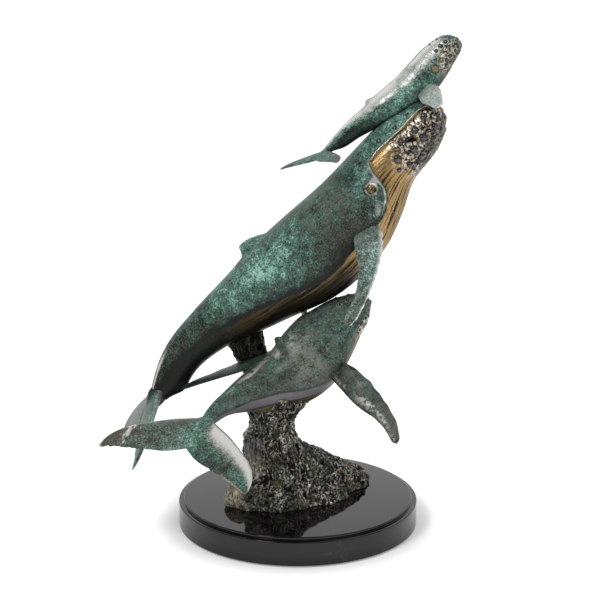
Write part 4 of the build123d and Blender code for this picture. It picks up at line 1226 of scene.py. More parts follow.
def put(tree, value, socket):
    """Joins a socket to another, or sets it to a plain value."""
    if isinstance(value, bpy.types.NodeSocket):
        tree.links.new(value, socket)
    else:
        socket.default_value = value


def calc(tree, operation, first, second=0.0):
    step = tree.nodes.new("ShaderNodeMath")
    step.operation = operation
    put(tree, first, step.inputs[0])
    put(tree, second, step.inputs[1])
    return step.outputs[0]


def remap(tree, value, low, high, out_low=0.0, out_high=1.0):
    """Smooth step between two levels."""
    step = tree.nodes.new("ShaderNodeMapRange")
    step.interpolation_type = "SMOOTHSTEP"
    put(tree, value, step.inputs["Value"])
    put(tree, low, step.inputs["From Min"])
    put(tree, high, step.inputs["From Max"])
    put(tree, out_low, step.inputs["To Min"])
    put(tree, out_high, step.inputs["To Max"])
    return step.outputs["Result"]


def blend(tree, factor, first, second):
    """Mix of two colours."""
    mix = tree.nodes.new("ShaderNodeMix")
    mix.data_type = "RGBA"
    sockets = {s.identifier: s for s in mix.inputs}
    put(tree, factor, sockets["Factor_Float"])
    put(tree, first, sockets["A_Color"])
    put(tree, second, sockets["B_Color"])
    return next(s for s in mix.outputs if s.identifier == "Result_Color")


def level(tree, factor, first, second):
    """Mix of two plain numbers."""
    mix = tree.nodes.new("ShaderNodeMix")
    mix.data_type = "FLOAT"
    put(tree, factor, mix.inputs[0])
    put(tree, first, mix.inputs[2])
    put(tree, second, mix.inputs[3])
    return mix.outputs[0]


def clouds(tree, vector, scale, detail=5.0, roughness=0.6, swirl=0.0):
    """Noise texture's value on some coordinates."""
    texture = tree.nodes.new("ShaderNodeTexNoise")
    put(tree, vector, texture.inputs["Vector"])
    texture.inputs["Scale"].default_value = scale
    texture.inputs["Detail"].default_value = detail
    texture.inputs["Roughness"].default_value = roughness
    texture.inputs["Distortion"].default_value = swirl
    return texture.outputs["Fac"]


def ridges(tree, value, width):
    """1 along the middle level of a noise, fading to 0 beside it."""
    away = calc(tree, "ABSOLUTE", calc(tree, "SUBTRACT", value, 0.5))
    return remap(tree, away, 0.0, width, 1.0, 0.0)


def stretched(tree, vector, scale):
    mapping = tree.nodes.new("ShaderNodeMapping")
    put(tree, vector, mapping.inputs["Vector"])
    mapping.inputs["Scale"].default_value = scale
    return mapping.outputs["Vector"]


def colour4(colour):
    return (*colour, 1.0)


def group_tree(name, inputs, outputs):
    """Shader node group with named sockets, and its two end nodes."""
    tree = bpy.data.node_groups.new(name, "ShaderNodeTree")
    for socket_name, kind in inputs:
        tree.interface.new_socket(socket_name, in_out="INPUT", socket_type=kind)
    for socket_name, kind in outputs:
        tree.interface.new_socket(socket_name, in_out="OUTPUT", socket_type=kind)
    return tree, tree.nodes.new("NodeGroupInput").outputs, tree.nodes.new("NodeGroupOutput").inputs


def use_group(tree, group, **values):
    """Places a shared group in a material."""
    node = tree.nodes.new("ShaderNodeGroup")
    node.node_tree = group
    for socket_name, value in values.items():
        put(tree, value, node.inputs[socket_name.replace("_", " ")])
    return node.outputs


FLOAT = "NodeSocketFloat"
VECTOR = "NodeSocketVector"


def mottle_group():
    """Fine verdigris speckle: masks of green, bright mint and olive, greener where Amount is high."""
    if "mottle" in bpy.data.node_groups:
        return bpy.data.node_groups["mottle"]
    inputs = [("Vector", VECTOR), ("Amount", FLOAT)]
    outputs = [("Green", FLOAT), ("Mint", FLOAT), ("Olive", FLOAT), ("Height", FLOAT)]
    tree, given, result = group_tree("mottle", inputs, outputs)
    vector = given["Vector"]
    broad = clouds(tree, vector, 30.0, 3.0, 0.6)
    patch = clouds(tree, vector, 140.0, 4.0, 0.65)
    middle = clouds(tree, vector, 560.0, 3.0, 0.7)
    fine = clouds(tree, vector, 1300.0, 2.0, 0.6)
    speck = calc(tree, "ADD", calc(tree, "MULTIPLY", middle, 0.45), calc(tree, "MULTIPLY", fine, 0.35))
    speck = calc(tree, "ADD", speck, calc(tree, "MULTIPLY", patch, 0.20))
    put(tree, speck, result["Height"])
    lift = calc(tree, "MULTIPLY", calc(tree, "SUBTRACT", broad, 0.5), 0.34)
    lift = calc(tree, "ADD", lift, calc(tree, "MULTIPLY", calc(tree, "SUBTRACT", patch, 0.5), 0.16))
    speck = calc(tree, "ADD", speck, lift)
    cut = calc(tree, "SUBTRACT", 0.62, calc(tree, "MULTIPLY", given["Amount"], 0.19))
    low = calc(tree, "SUBTRACT", cut, 0.09)
    high = calc(tree, "ADD", cut, 0.06)
    put(tree, remap(tree, speck, low, high), result["Green"])
    web = ridges(tree, clouds(tree, vector, 400.0, 2.0, 0.6, 0.9), 0.045)
    web = calc(tree, "MULTIPLY", web, remap(tree, speck, cut, calc(tree, "ADD", cut, 0.14), 0.0, 0.75))
    spots = remap(tree, speck, high, calc(tree, "ADD", cut, 0.20))
    put(tree, calc(tree, "MAXIMUM", web, spots), result["Mint"])
    put(tree, remap(tree, clouds(tree, vector, 800.0, 2.0, 0.6), 0.48, 0.62), result["Olive"])
    return tree


def streak_group():
    """Lengthwise streaks that follow the skin's own map."""
    if "streaks" in bpy.data.node_groups:
        return bpy.data.node_groups["streaks"]
    tree, given, result = group_tree("streaks", [("Map", VECTOR)], [("Mask", FLOAT)])
    wide = clouds(tree, stretched(tree, given["Map"], (7, 62, 1)), 1.0, 3.0, 0.6)
    thin = clouds(tree, stretched(tree, given["Map"], (12, 210, 1)), 1.0, 2.0, 0.6)
    both = calc(tree, "ADD", calc(tree, "MULTIPLY", wide, 0.6), calc(tree, "MULTIPLY", thin, 0.4))
    put(tree, remap(tree, both, 0.47, 0.57), result["Mask"])
    return tree


def crust_group():
    """Rough jaw: masks of dark hollows, warm metal and pale glints."""
    if "crust" in bpy.data.node_groups:
        return bpy.data.node_groups["crust"]
    outputs = [("Dark", FLOAT), ("Pale", FLOAT), ("Height", FLOAT)]
    tree, given, result = group_tree("crust", [("Vector", VECTOR)], outputs)
    lumps = clouds(tree, given["Vector"], 150.0, 4.0, 0.68, 0.6)
    grit = clouds(tree, given["Vector"], 440.0, 3.0, 0.65, 0.6)
    put(tree, remap(tree, lumps, 0.47, 0.58), result["Dark"])
    put(tree, remap(tree, grit, 0.46, 0.60), result["Pale"])
    height = calc(tree, "SUBTRACT", calc(tree, "MULTIPLY", grit, 0.6), calc(tree, "MULTIPLY", lumps, 0.8))
    put(tree, height, result["Height"])
    return tree


def patina_bronze():
    """Waxed bronze: dark oxide, teal speckle, brown-gold underside, silvery wear with painted highlights,
    and painted shade in the oxide colour.
    """
    name = "patina_bronze_cast"
    if name in bpy.data.materials:
        return bpy.data.materials[name]
    settings = bpy.context.scene.whale_finish
    material, tree, shader = new_material(name)
    place = tree.nodes.new("ShaderNodeTexCoord").outputs["Object"]
    skin = tree.nodes.new("ShaderNodeUVMap")
    skin.uv_map = "skin"
    tone = tree.nodes.new("ShaderNodeAttribute")
    tone.attribute_name = "tone"
    parts = tree.nodes.new("ShaderNodeSeparateColor")
    put(tree, tone.outputs["Color"], parts.inputs["Color"])
    gold, green, silver = parts.outputs
    shade = tone.outputs["Alpha"]
    finish = tree.nodes.new("ShaderNodeAttribute")
    finish.attribute_name = "finish"
    kinds = tree.nodes.new("ShaderNodeSeparateColor")
    put(tree, finish.outputs["Color"], kinds.inputs["Color"])
    jaw, stripe, dusk = kinds.outputs
    speck = use_group(tree, mottle_group(), Vector=place, Amount=green)
    streak = use_group(tree, streak_group(), Map=skin.outputs["UV"])["Mask"]
    crust = use_group(tree, crust_group(), Vector=place)
    dark_oxide_and_shade = colour4(settings.dark_oxide_and_shade)
    oxide_brown = colour4(settings.oxide_brown)
    ground = blend(tree, clouds(tree, place, 60.0), dark_oxide_and_shade, oxide_brown)
    ground = blend(tree, speck["Olive"], ground, colour4(settings.olive))
    wax_cloud = calc(tree, "MULTIPLY", clouds(tree, place, 85.0, 4.0, 0.6), 0.5)
    uneven_wax = calc(tree, "ADD", speck["Height"], wax_cloud)
    wax = blend(tree, remap(tree, uneven_wax, 0.58, 0.88), oxide_brown, colour4(settings.dusk))
    ground = blend(tree, dusk, ground, wax)
    patina = blend(tree, speck["Green"], ground, colour4(settings.verdigris))
    patina = blend(tree, speck["Mint"], patina, colour4(settings.mint))
    brown = blend(tree, streak, colour4(settings.belly_gold), colour4(settings.belly_dark))
    brown = blend(tree, remap(tree, speck["Height"], 0.55, 0.68), brown, colour4(settings.belly_pale))
    crusted = blend(tree, crust["Pale"], colour4(settings.crust_gold), colour4(settings.crust_pale))
    crusted = blend(tree, crust["Dark"], crusted, colour4(settings.crust_dark))
    brown = blend(tree, jaw, brown, crusted)
    uneven = calc(tree, "SUBTRACT", speck["Height"], 0.5)
    # Silver: real wear and painted highlights, both in the silvery polish colour.
    worn = remap(tree, calc(tree, "ADD", silver, uneven), 0.12, 0.92)
    colour = blend(tree, gold, patina, brown)
    stripe_cloud = clouds(tree, place, 150.0)
    greys = blend(tree, stripe_cloud, colour4(settings.stripe_dark), colour4(settings.stripe_pale))
    colour = blend(tree, stripe, colour, greys)
    # Alpha: dark marks and painted shade, both in the dark oxide colour.
    colour = blend(tree, calc(tree, "MULTIPLY", shade, 0.94), colour, dark_oxide_and_shade)
    colour = blend(tree, worn, colour, colour4(settings.polished))
    put(tree, colour, shader.inputs["Base Color"])
    metal = calc(tree, "MAXIMUM", calc(tree, "MULTIPLY", gold, 0.80), calc(tree, "MULTIPLY", worn, 0.85))
    put(tree, calc(tree, "MAXIMUM", metal, 0.15), shader.inputs["Metallic"])
    rough = level(tree, speck["Green"], 0.34, 0.55)
    rough = level(tree, gold, rough, 0.36)
    put(tree, level(tree, worn, rough, 0.30), shader.inputs["Roughness"])
    shader.inputs["Specular IOR Level"].default_value = 0.17
    shader.inputs["Coat Weight"].default_value = 0.07
    shader.inputs["Coat Roughness"].default_value = 0.12
    relief = level(tree, jaw, speck["Height"], crust["Height"])
    bump = tree.nodes.new("ShaderNodeBump")
    put(tree, 0.45, bump.inputs["Strength"])
    put(tree, 0.0009, bump.inputs["Distance"])
    put(tree, relief, bump.inputs["Height"])
    put(tree, bump.outputs["Normal"], shader.inputs["Normal"])
    return material


def knob_bronze():
    """Dark glossy knobs with green and gold dirt round them, and a painted highlight on each top."""
    name = "knob_bronze"
    if name in bpy.data.materials:
        return bpy.data.materials[name]
    settings = bpy.context.scene.whale_finish
    material, tree, shader = new_material(name)
    place = tree.nodes.new("ShaderNodeTexCoord").outputs["Object"]
    speck = use_group(tree, mottle_group(), Vector=place, Amount=0.35)
    colour = blend(tree, speck["Green"], colour4(settings.knob_dark), colour4(settings.oxide_brown))
    colour = blend(tree, calc(tree, "MULTIPLY", speck["Mint"], 0.7), colour, colour4(settings.belly_pale))
    # Painted highlight: each knob's top turns towards the silvery polish colour.
    top = tree.nodes.new("ShaderNodeAttribute")
    top.attribute_name = "top"
    worn = calc(tree, "ADD", top.outputs["Fac"], calc(tree, "MULTIPLY", speck["Height"], 0.5))
    rubbed = remap(tree, worn, 0.78, 1.02, 0.0, 0.22)
    put(tree, blend(tree, rubbed, colour, colour4(settings.polished)), shader.inputs["Base Color"])
    shader.inputs["Metallic"].default_value = 0.30
    put(tree, level(tree, speck["Green"], 0.18, 0.34), shader.inputs["Roughness"])
    shader.inputs["Coat Weight"].default_value = 0.7
    shader.inputs["Coat Roughness"].default_value = 0.08
    return material


def rock_bronze():
    """Dark cast rock with green, rust, and pale flecks on its fibres that are rubbed metal and painted
    highlights together.
    """
    name = "rock_bronze_cast"
    if name in bpy.data.materials:
        return bpy.data.materials[name]
    settings = bpy.context.scene.whale_finish
    material, tree, shader = new_material(name)
    place = tree.nodes.new("ShaderNodeTexCoord").outputs["Object"]
    tone = tree.nodes.new("ShaderNodeAttribute")
    tone.attribute_name = "tone"
    parts = tree.nodes.new("ShaderNodeSeparateColor")
    put(tree, tone.outputs["Color"], parts.inputs["Color"])
    high, sleek, gilt = parts.outputs
    coarse = ridges(tree, clouds(tree, stretched(tree, place, (120, 120, 34)), 1.0, 2.0, 0.6, 0.7), 0.070)
    small = ridges(tree, clouds(tree, stretched(tree, place, (250, 250, 64)), 1.0, 2.0, 0.6, 0.6), 0.060)
    worms = calc(tree, "MAXIMUM", coarse, calc(tree, "MULTIPLY", small, 0.95))
    grit = clouds(tree, place, 460.0, 3.0, 0.6)
    patches = clouds(tree, place, 38.0, 3.0, 0.6)
    rust = clouds(tree, place, 75.0, 4.0, 0.6)
    raised = remap(tree, high, 0.66, 0.92, 0.0, 0.5)
    # Alpha: 1 on the mound, low on the spur as painted shade.
    rub = tone.outputs["Alpha"]
    crest = calc(tree, "MAXIMUM", worms, raised)
    green = calc(tree, "MULTIPLY", remap(tree, patches, 0.42, 0.60), rub)
    warm = calc(tree, "MULTIPLY", remap(tree, rust, 0.55, 0.68), rub)
    colour = blend(tree, green, colour4(settings.rock_dark), colour4(settings.rock_green))
    colour = blend(tree, warm, colour, colour4(settings.rock_rust))
    uneven = remap(tree, calc(tree, "ADD", worms, rust), 0.35, 0.85, 0.45, 1.0)
    broken = calc(tree, "MULTIPLY", gilt, uneven)
    colour = blend(tree, broken, colour, colour4(settings.rock_gilt))
    # Pale flecks on the crests: rubbed metal and painted highlights together.
    rubbed = calc(tree, "MULTIPLY", crest, remap(tree, grit, 0.42, 0.58))
    worn = remap(tree, clouds(tree, place, 62.0, 3.0, 0.6), 0.38, 0.56, 0.45, 1.0)
    rubbed = calc(tree, "MULTIPLY", rubbed, calc(tree, "MULTIPLY", rub, worn))
    colour = blend(tree, rubbed, colour, colour4(settings.rock_rub_and_highlight))
    pits = remap(tree, calc(tree, "ADD", high, calc(tree, "MULTIPLY", worms, 0.40)), 0.26, 0.68)
    gilt_grooves = calc(tree, "MULTIPLY", gilt, remap(tree, worms, 0.1, 0.6, 0.45, 1.0))
    pits = calc(tree, "MAXIMUM", pits, gilt_grooves)
    colour = blend(tree, pits, colour4(settings.rock_pit), colour)
    runs = clouds(tree, stretched(tree, place, (520, 520, 60)), 1.0, 3.0, 0.6)
    runs = remap(tree, runs, 0.42, 0.60)
    face = blend(tree, runs, colour4(settings.rock_dark), colour4(settings.rock_sleek))
    colour = blend(tree, calc(tree, "MULTIPLY", sleek, 0.9), colour, face)
    put(tree, colour, shader.inputs["Base Color"])
    put(tree, level(tree, gilt, 0.35, 0.05), shader.inputs["Metallic"])
    shader.inputs["Specular IOR Level"].default_value = 0.16
    put(tree, level(tree, rubbed, 0.40, 0.26), shader.inputs["Roughness"])
    height = calc(tree, "ADD", calc(tree, "MULTIPLY", worms, 0.9), calc(tree, "MULTIPLY", grit, 0.4))
    height = calc(tree, "MULTIPLY", height, level(tree, sleek, 1.0, 0.2))
    bump = tree.nodes.new("ShaderNodeBump")
    bump.inputs["Strength"].default_value = 0.9
    bump.inputs["Distance"].default_value = 0.0030
    put(tree, height, bump.inputs["Height"])
    put(tree, bump.outputs["Normal"], shader.inputs["Normal"])
    return material


def black_marble():
    """Polished black marble with faint grey clouding and hair veins."""
    settings = bpy.context.scene.whale_finish
    material, tree, shader = new_material("black_marble_polished")
    place = tree.nodes.new("ShaderNodeTexCoord").outputs["Object"]
    cloud = remap(tree, clouds(tree, place, 26.0, 6.0, 0.65), 0.50, 0.80)
    vein = calc(tree, "ABSOLUTE", calc(tree, "SUBTRACT", clouds(tree, place, 14.0, 7.0, 0.62), 0.5))
    vein = remap(tree, vein, 0.0, 0.006, 0.5, 0.0)
    faint = calc(tree, "MULTIPLY", cloud, 0.5)
    colour = blend(tree, faint, colour4(settings.marble), colour4(settings.marble_cloud))
    colour = blend(tree, calc(tree, "MULTIPLY", vein, cloud), colour, colour4(settings.marble_vein))
    put(tree, colour, shader.inputs["Base Color"])
    put(tree, level(tree, cloud, 0.06, 0.10), shader.inputs["Roughness"])
    shader.inputs["Specular IOR Level"].default_value = 0.38
    return material


def felt_cloth():
    """Black felt with a fine nap."""
    settings = bpy.context.scene.whale_finish
    material, tree, shader = new_material("felt_nap")
    place = tree.nodes.new("ShaderNodeTexCoord").outputs["Object"]
    nap = clouds(tree, place, 1500.0, 4.0, 0.7)
    colour = blend(tree, nap, colour4(settings.felt), colour4(settings.felt_pale))
    put(tree, colour, shader.inputs["Base Color"])
    shader.inputs["Roughness"].default_value = 0.95
    shader.inputs["Sheen Weight"].default_value = 0.3
    bump = tree.nodes.new("ShaderNodeBump")
    bump.inputs["Strength"].default_value = 0.6
    bump.inputs["Distance"].default_value = 0.0004
    put(tree, nap, bump.inputs["Height"])
    put(tree, bump.outputs["Normal"], shader.inputs["Normal"])
    return material


def turned_metal(name, colour, roughness):
    """Turned rod or nut with light tarnish."""
    material, tree, shader = new_material(name)
    place = tree.nodes.new("ShaderNodeTexCoord").outputs["Object"]
    tarnish = clouds(tree, place, 180.0, 5.0, 0.65)
    dull = tuple(channel * 0.6 for channel in colour)
    tarnished = blend(tree, remap(tree, tarnish, 0.5, 0.75), colour4(colour), colour4(dull))
    put(tree, tarnished, shader.inputs["Base Color"])
    shader.inputs["Metallic"].default_value = 1.0
    put(tree, level(tree, tarnish, roughness, roughness + 0.2), shader.inputs["Roughness"])
    return material


# Settings

def colour_setting(label, words, colour):
    return FloatVectorProperty(
        name=label, description=words, subtype="COLOR", size=3, min=0, max=1, default=colour,
    )


def length_setting(label, words, metres):
    return FloatProperty(
        name=label, description=words, unit="LENGTH", subtype="DISTANCE", default=metres, precision=5,
    )


def count_setting(label, words, count, least):
    return IntProperty(name=label, description=words, default=count, min=least)


def power_setting(label, words, watts):
    return FloatProperty(name=label, description=words, unit="POWER", default=watts)


def strength_setting(label, words, strength):
    return FloatProperty(name=label, description=words, default=strength)


class WhaleFinish(PropertyGroup):
    """Colours of the castings, the marble and the felt."""

    # Also the colour of the painted shade on the castings
    dark_oxide_and_shade: colour_setting("Dark oxide", "Bare dark ground under the patina", (0.008, 0.009, 0.008))
    oxide_brown: colour_setting("Brown oxide", "Warmer patches of the ground", (0.022, 0.025, 0.019))
    olive: colour_setting("Olive", "Grey-brown specks of the ground", (0.092, 0.097, 0.074))
    dusk: colour_setting("Dusk", "Smooth grey wax of the dusky flanks", (0.225, 0.225, 0.192))
    verdigris: colour_setting("Verdigris", "Main green of the patina", (0.075, 0.170, 0.138))
    mint: colour_setting("Mint", "Brightest specks of the patina", (0.390, 0.670, 0.560))
    belly_gold: colour_setting("Gold bronze", "Rubbed bronze of jaw and throat", (0.440, 0.295, 0.120))
    belly_dark: colour_setting("Dark streaks", "Lengthwise streaks in the gold", (0.034, 0.020, 0.009))
    belly_pale: colour_setting("Pale bronze", "Lightest rubbed bronze", (0.740, 0.580, 0.340))
    crust_gold: colour_setting("Crust", "Warm metal of the rough jaw", (0.200, 0.138, 0.068))
    crust_pale: colour_setting("Crust glints", "Pale glints of the rough jaw", (0.900, 0.860, 0.790))
    crust_dark: colour_setting("Crust hollows", "Dark hollows of the rough jaw", (0.010, 0.010, 0.010))
    # Also the colour of the painted highlights on the castings and knob tops
    polished: colour_setting("Polished", "Silvery worn metal", (0.720, 0.715, 0.680))
    knob_dark: colour_setting("Knobs", "Dark knobs on the heads", (0.010, 0.014, 0.018))
    stripe_dark: colour_setting("Stripe", "Smooth grey stripe of the belly", (0.150, 0.142, 0.156))
    stripe_pale: colour_setting("Pale stripe", "Lighter clouds in the stripe", (0.270, 0.258, 0.280))
    rock_dark: colour_setting("Rock", "Dark rock ground", (0.014, 0.013, 0.011))
    rock_green: colour_setting("Rock green", "Green patches on the rock", (0.050, 0.070, 0.046))
    rock_rust: colour_setting("Rock rust", "Warm patches on the rock", (0.190, 0.120, 0.050))
    # Also the colour of painted highlights on the rock's crests
    rock_rub_and_highlight: colour_setting("Rock pale", "Rubbed fibres of the rock", (0.900, 0.870, 0.780))
    rock_pit: colour_setting("Rock pits", "Deep pits of the rock", (0.004, 0.004, 0.004))
    rock_gilt: colour_setting("Rock gilt", "Gold lump and collar of the rock", (0.860, 0.740, 0.520))
    rock_sleek: colour_setting("Rock frond", "Smooth grey frond of the rock", (0.200, 0.188, 0.200))
    marble: colour_setting("Marble", "Black marble", (0.004, 0.004, 0.005))
    marble_cloud: colour_setting("Marble clouds", "Grey clouding in the marble", (0.013, 0.013, 0.014))
    marble_vein: colour_setting("Marble veins", "Hair veins in the marble", (0.120, 0.120, 0.120))
    felt: colour_setting("Felt", "Felt under the base", (0.010, 0.010, 0.011))
    felt_pale: colour_setting("Felt nap", "Lighter felt fibres", (0.040, 0.040, 0.042))
    steel: colour_setting("Steel", "Studs, washers and nuts", (0.560, 0.560, 0.570))
    rod: colour_setting("Bronze rod", "Pins between the castings", (0.360, 0.300, 0.220))


class WhaleSizes(PropertyGroup):
    """Sizes of the details on the castings."""

    lip_height: length_setting("Lip", "Height of the lip along the mouth", 0.0012)
    eye_size: length_setting("Eye", "Radius of the mother's eye", 0.0044)
    crown_swell: length_setting("Crown", "Fullness of the mother's head under the calf", 0.0040)
    pleat_depth: length_setting("Pleat depth", "Depth of the throat grooves", 0.0008)
    pleat_count: count_setting("Pleats", "Grooves in half a turn", 34, 4)
    knob_radius: length_setting("Knob radius", "Radius of the knobs on the mother's head", 0.0030)
    flipper_knobs: count_setting("Flipper knobs", "Knobs on each leading edge", 13, 1)
    rock_voxel: length_setting("Rock fineness", "Grid of the rock's crust", 0.0012)
    rock_depth: length_setting("Rock crust", "Depth of the rock's crust", 0.0026)
    rock_waist: length_setting("Rock waist", "Hollow in the pillar's left side", 0.0060)


class WhaleStage(PropertyGroup):
    """Light and floor."""

    key_power: power_setting("Key light", "Large soft light", 14.0)
    fill_power: power_setting("Fill light", "Soft light from the right", 6.0)
    sky_strength: strength_setting("Sky", "Even light from all round", 0.50)
    front_strength: strength_setting("Front", "Dimmer room behind the camera", 0.14)
    # Weaker glow beside the base: a painted shadow ring
    shadow_ring_glow: strength_setting("Near glow", "Floor's own white beside the base", 0.22)
    far_glow: strength_setting("Far glow", "Floor's own white away from the base", 0.55)
    floor_colour: colour_setting("Floor", "Pale studio floor", (0.96, 0.96, 0.96))


# Operators

class WHALES_OT_bodies(Operator):
    """Casts the three whale bodies with their mouths, eyes, pleats and fins"""

    bl_idname = "whales.bodies"
    bl_label = "Whale bodies"

    def execute(self, context):
        sizes = context.scene.whale_sizes
        mother_body(sizes)
        escort_body(sizes)
        calf_body(sizes)
        return {"FINISHED"}


class WHALES_OT_flippers(Operator):
    """Casts the six flippers"""

    bl_idname = "whales.flippers"
    bl_label = "Flippers"

    def execute(self, context):
        for name in blade_plans:
            flipper(name, context.scene.whale_sizes)
        return {"FINISHED"}


class WHALES_OT_flukes(Operator):
    """Casts the three pairs of flukes"""

    bl_idname = "whales.flukes"
    bl_label = "Flukes"

    def execute(self, context):
        for name in fluke_plans:
            flukes(name)
        return {"FINISHED"}


class WHALES_OT_knobs(Operator):
    """Sets the knobs on the three heads"""

    bl_idname = "whales.knobs"
    bl_label = "Head knobs"

    def execute(self, context):
        radius = context.scene.whale_sizes.knob_radius
        tree = knob_tree()
        head_knobs("mother_head_knobs", mother, mother_knob_shares, radius, tree)
        head_knobs("escort_head_knobs", escort, escort_knob_shares, radius * 0.7, tree)
        head_knobs("calf_head_knobs", calf, calf_knob_shares, radius * 0.6, tree)
        return {"FINISHED"}


class WHALES_OT_rock(Operator):
    """Crusts the rock mound and the spur behind it"""

    bl_idname = "whales.rock"
    bl_label = "Rock"

    def execute(self, context):
        sizes = context.scene.whale_sizes
        crusted_rock("rock_mound", "rock_mound_cast", sizes.rock_voxel, sizes.rock_depth, sizes.rock_waist)
        crusted_rock("rock_spur", "rock_spur_cast", sizes.rock_voxel, sizes.rock_depth, 0)
        return {"FINISHED"}


class WHALES_OT_base(Operator):
    """Turns the marble base and the felt under it"""

    bl_idname = "whales.base"
    bl_label = "Base"

    def execute(self, context):
        marble_disc()
        felt_disc()
        return {"FINISHED"}


class WHALES_OT_fixings(Operator):
    """Finishes the studs, washers, nuts and pins inside the castings"""

    bl_idname = "whales.fixings"
    bl_label = "Fixings"

    def execute(self, context):
        finish = context.scene.whale_finish
        steel = turned_metal("plated_steel", tuple(finish.steel), 0.3)
        rod = turned_metal("bronze_rod", tuple(finish.rod), 0.28)
        plans = {
            steel: ("mounting_studs", "mounting_washers", "mounting_nuts"),
            rod: ("tie_pin", "spur_pin", "escort_pins", "calf_pins"),
        }
        for material, names in plans.items():
            for name in names:
                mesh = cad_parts[name].data
                mesh.materials.clear()
                mesh.materials.append(material)
        return {"FINISHED"}


class WHALES_OT_stage(Operator):
    """Sets the floor, the soft lights, the sky and the photograph's camera"""

    bl_idname = "whales.stage"
    bl_label = "Stage"

    def execute(self, context):
        stage = context.scene.whale_stage
        studio_floor(tuple(stage.floor_colour), stage.shadow_ring_glow, stage.far_glow)
        soft_light("key_light", KEY_PLACE, KEY_TARGET, KEY_SIZE, stage.key_power)
        soft_light("fill_light", FILL_PLACE, FILL_TARGET, FILL_SIZE, stage.fill_power)
        studio_sky(stage.sky_strength, stage.front_strength)
        photo_camera()
        context.scene.view_settings.view_transform = "Standard"
        return {"FINISHED"}


def background_rays(tree):
    """1 for rays that see the backdrop: from the camera, in polish or through glass."""
    rays = tree.nodes.new("ShaderNodeLightPath").outputs
    seen = calc(tree, "MAXIMUM", rays["Is Camera Ray"], rays["Is Glossy Ray"])
    return calc(tree, "MAXIMUM", seen, rays["Is Transmission Ray"])


def studio_floor(colour, shadow_ring_glow, far_glow):
    """Wide pale floor that keeps the soft shadow, and a painted shadow ring round the base where its glow
    is weaker.
    """
    half = FLOOR_HALF
    mesh = bpy.data.meshes.new("studio_floor")
    corners = [(-half, -half, 0), (half, -half, 0), (half, half, 0), (-half, half, 0)]
    mesh.from_pydata(corners, [], [(0, 1, 2, 3)])
    floor = bpy.data.objects.new("studio_floor", mesh)
    bpy.context.scene.collection.objects.link(floor)
    material, tree, shader = new_material("pale_floor")
    shader.inputs["Base Color"].default_value = colour4(colour)
    shader.inputs["Roughness"].default_value = 0.9
    shader.inputs["Specular IOR Level"].default_value = 0.0
    glow = tree.nodes.new("ShaderNodeEmission")
    reach = tree.nodes.new("ShaderNodeVectorMath")
    reach.operation = "LENGTH"
    put(tree, tree.nodes.new("ShaderNodeTexCoord").outputs["Object"], reach.inputs[0])
    # Painted shadow: the glow is weaker near the base, darkening a ring round it.
    white = remap(tree, reach.outputs["Value"], BASE_RADIUS, SHADOW_RING_REACH, shadow_ring_glow, far_glow)
    put(tree, calc(tree, "MULTIPLY", background_rays(tree), white), glow.inputs["Strength"])
    both = tree.nodes.new("ShaderNodeAddShader")
    put(tree, shader.outputs["BSDF"], both.inputs[0])
    put(tree, glow.outputs["Emission"], both.inputs[1])
    put(tree, both.outputs["Shader"], tree.nodes["Material Output"].inputs["Surface"])
    mesh.materials.append(material)


def soft_light(name, place, target, size, power):
    """Square soft box aimed at the figurine."""
    lamp = bpy.data.lights.new(name, "AREA")
    lamp.size = size
    lamp.energy = power
    light = bpy.data.objects.new(name, lamp)
    light.location = place
    way = Vector(target) - Vector(place)
    light.rotation_euler = way.to_track_quat("-Z", "Y").to_euler()
    bpy.context.scene.collection.objects.link(light)


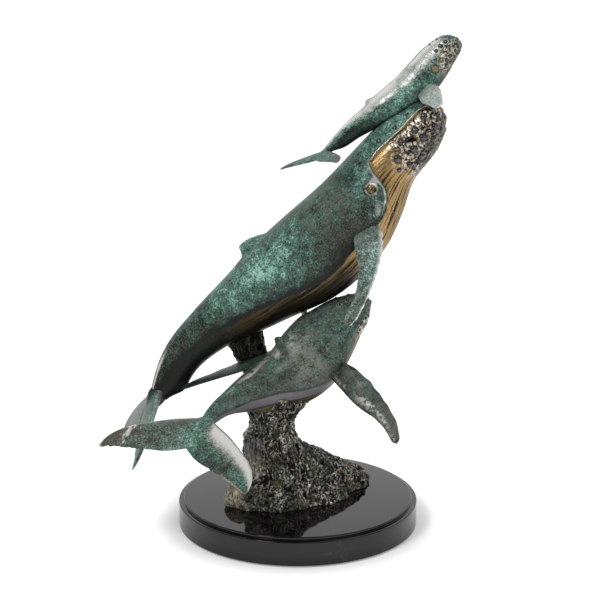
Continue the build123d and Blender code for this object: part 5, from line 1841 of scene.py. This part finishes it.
def studio_sky(strength, front):
    """Even grey light, white where the backdrop is seen, and a dimmer room in front of it in polish."""
    world = bpy.data.worlds.new("studio_sky")
    world.use_nodes = True
    tree = world.node_tree
    sky = tree.nodes["Background"]
    sky.inputs["Color"].default_value = (1, 1, 1, 1)
    ways = tree.nodes.new("ShaderNodeSeparateXYZ")
    put(tree, tree.nodes.new("ShaderNodeTexCoord").outputs["Generated"], ways.inputs["Vector"])
    backdrop = remap(tree, ways.outputs["Y"], -0.25, 0.35, front, 1.0)
    rays = tree.nodes.new("ShaderNodeLightPath").outputs
    seen = calc(tree, "MAXIMUM", rays["Is Camera Ray"], rays["Is Transmission Ray"])
    shown = level(tree, rays["Is Glossy Ray"], strength, backdrop)
    put(tree, level(tree, seen, shown, 1.0), sky.inputs["Strength"])
    bpy.context.scene.world = world


def photo_camera():
    lens = bpy.data.cameras.new("photo_camera")
    lens.sensor_width = CAMERA_SENSOR
    lens.lens = CAMERA_LENS
    camera = bpy.data.objects.new("photo_camera", lens)
    camera.location = CAMERA_PLACE
    camera.rotation_euler = (math.radians(90 - CAMERA_PITCH_DEGREES), 0, 0)
    bpy.context.scene.collection.objects.link(camera)
    bpy.context.scene.camera = camera


class WHALES_PT_panel(Panel):
    """Buttons and settings of the whale figurine"""

    bl_idname = "WHALES_PT_panel"
    bl_label = "Whale family"
    bl_space_type = "VIEW_3D"
    bl_region_type = "UI"
    bl_category = "Whales"

    def draw(self, context):
        for operator in operators:
            self.layout.operator(operator.bl_idname)
        for group in (context.scene.whale_sizes, context.scene.whale_finish, context.scene.whale_stage):
            for name in group.__annotations__:
                self.layout.prop(group, name)


operators = (
    WHALES_OT_bodies,
    WHALES_OT_flippers,
    WHALES_OT_flukes,
    WHALES_OT_knobs,
    WHALES_OT_rock,
    WHALES_OT_base,
    WHALES_OT_fixings,
    WHALES_OT_stage,
)
classes = (WhaleFinish, WhaleSizes, WhaleStage) + operators + (WHALES_PT_panel,)


def register():
    for cls in classes:
        bpy.utils.register_class(cls)
    bpy.types.Scene.whale_finish = PointerProperty(type=WhaleFinish)
    bpy.types.Scene.whale_sizes = PointerProperty(type=WhaleSizes)
    bpy.types.Scene.whale_stage = PointerProperty(type=WhaleStage)


def unregister():
    for name in ("whale_stage", "whale_sizes", "whale_finish"):
        delattr(bpy.types.Scene, name)
    for cls in reversed(classes):
        bpy.utils.unregister_class(cls)


def main():
    register()
    bpy.ops.whales.bodies()
    bpy.ops.whales.flippers()
    bpy.ops.whales.flukes()
    bpy.ops.whales.knobs()
    bpy.ops.whales.rock()
    bpy.ops.whales.base()
    bpy.ops.whales.fixings()
    bpy.ops.whales.stage()


if __name__ == "__main__":
    main()
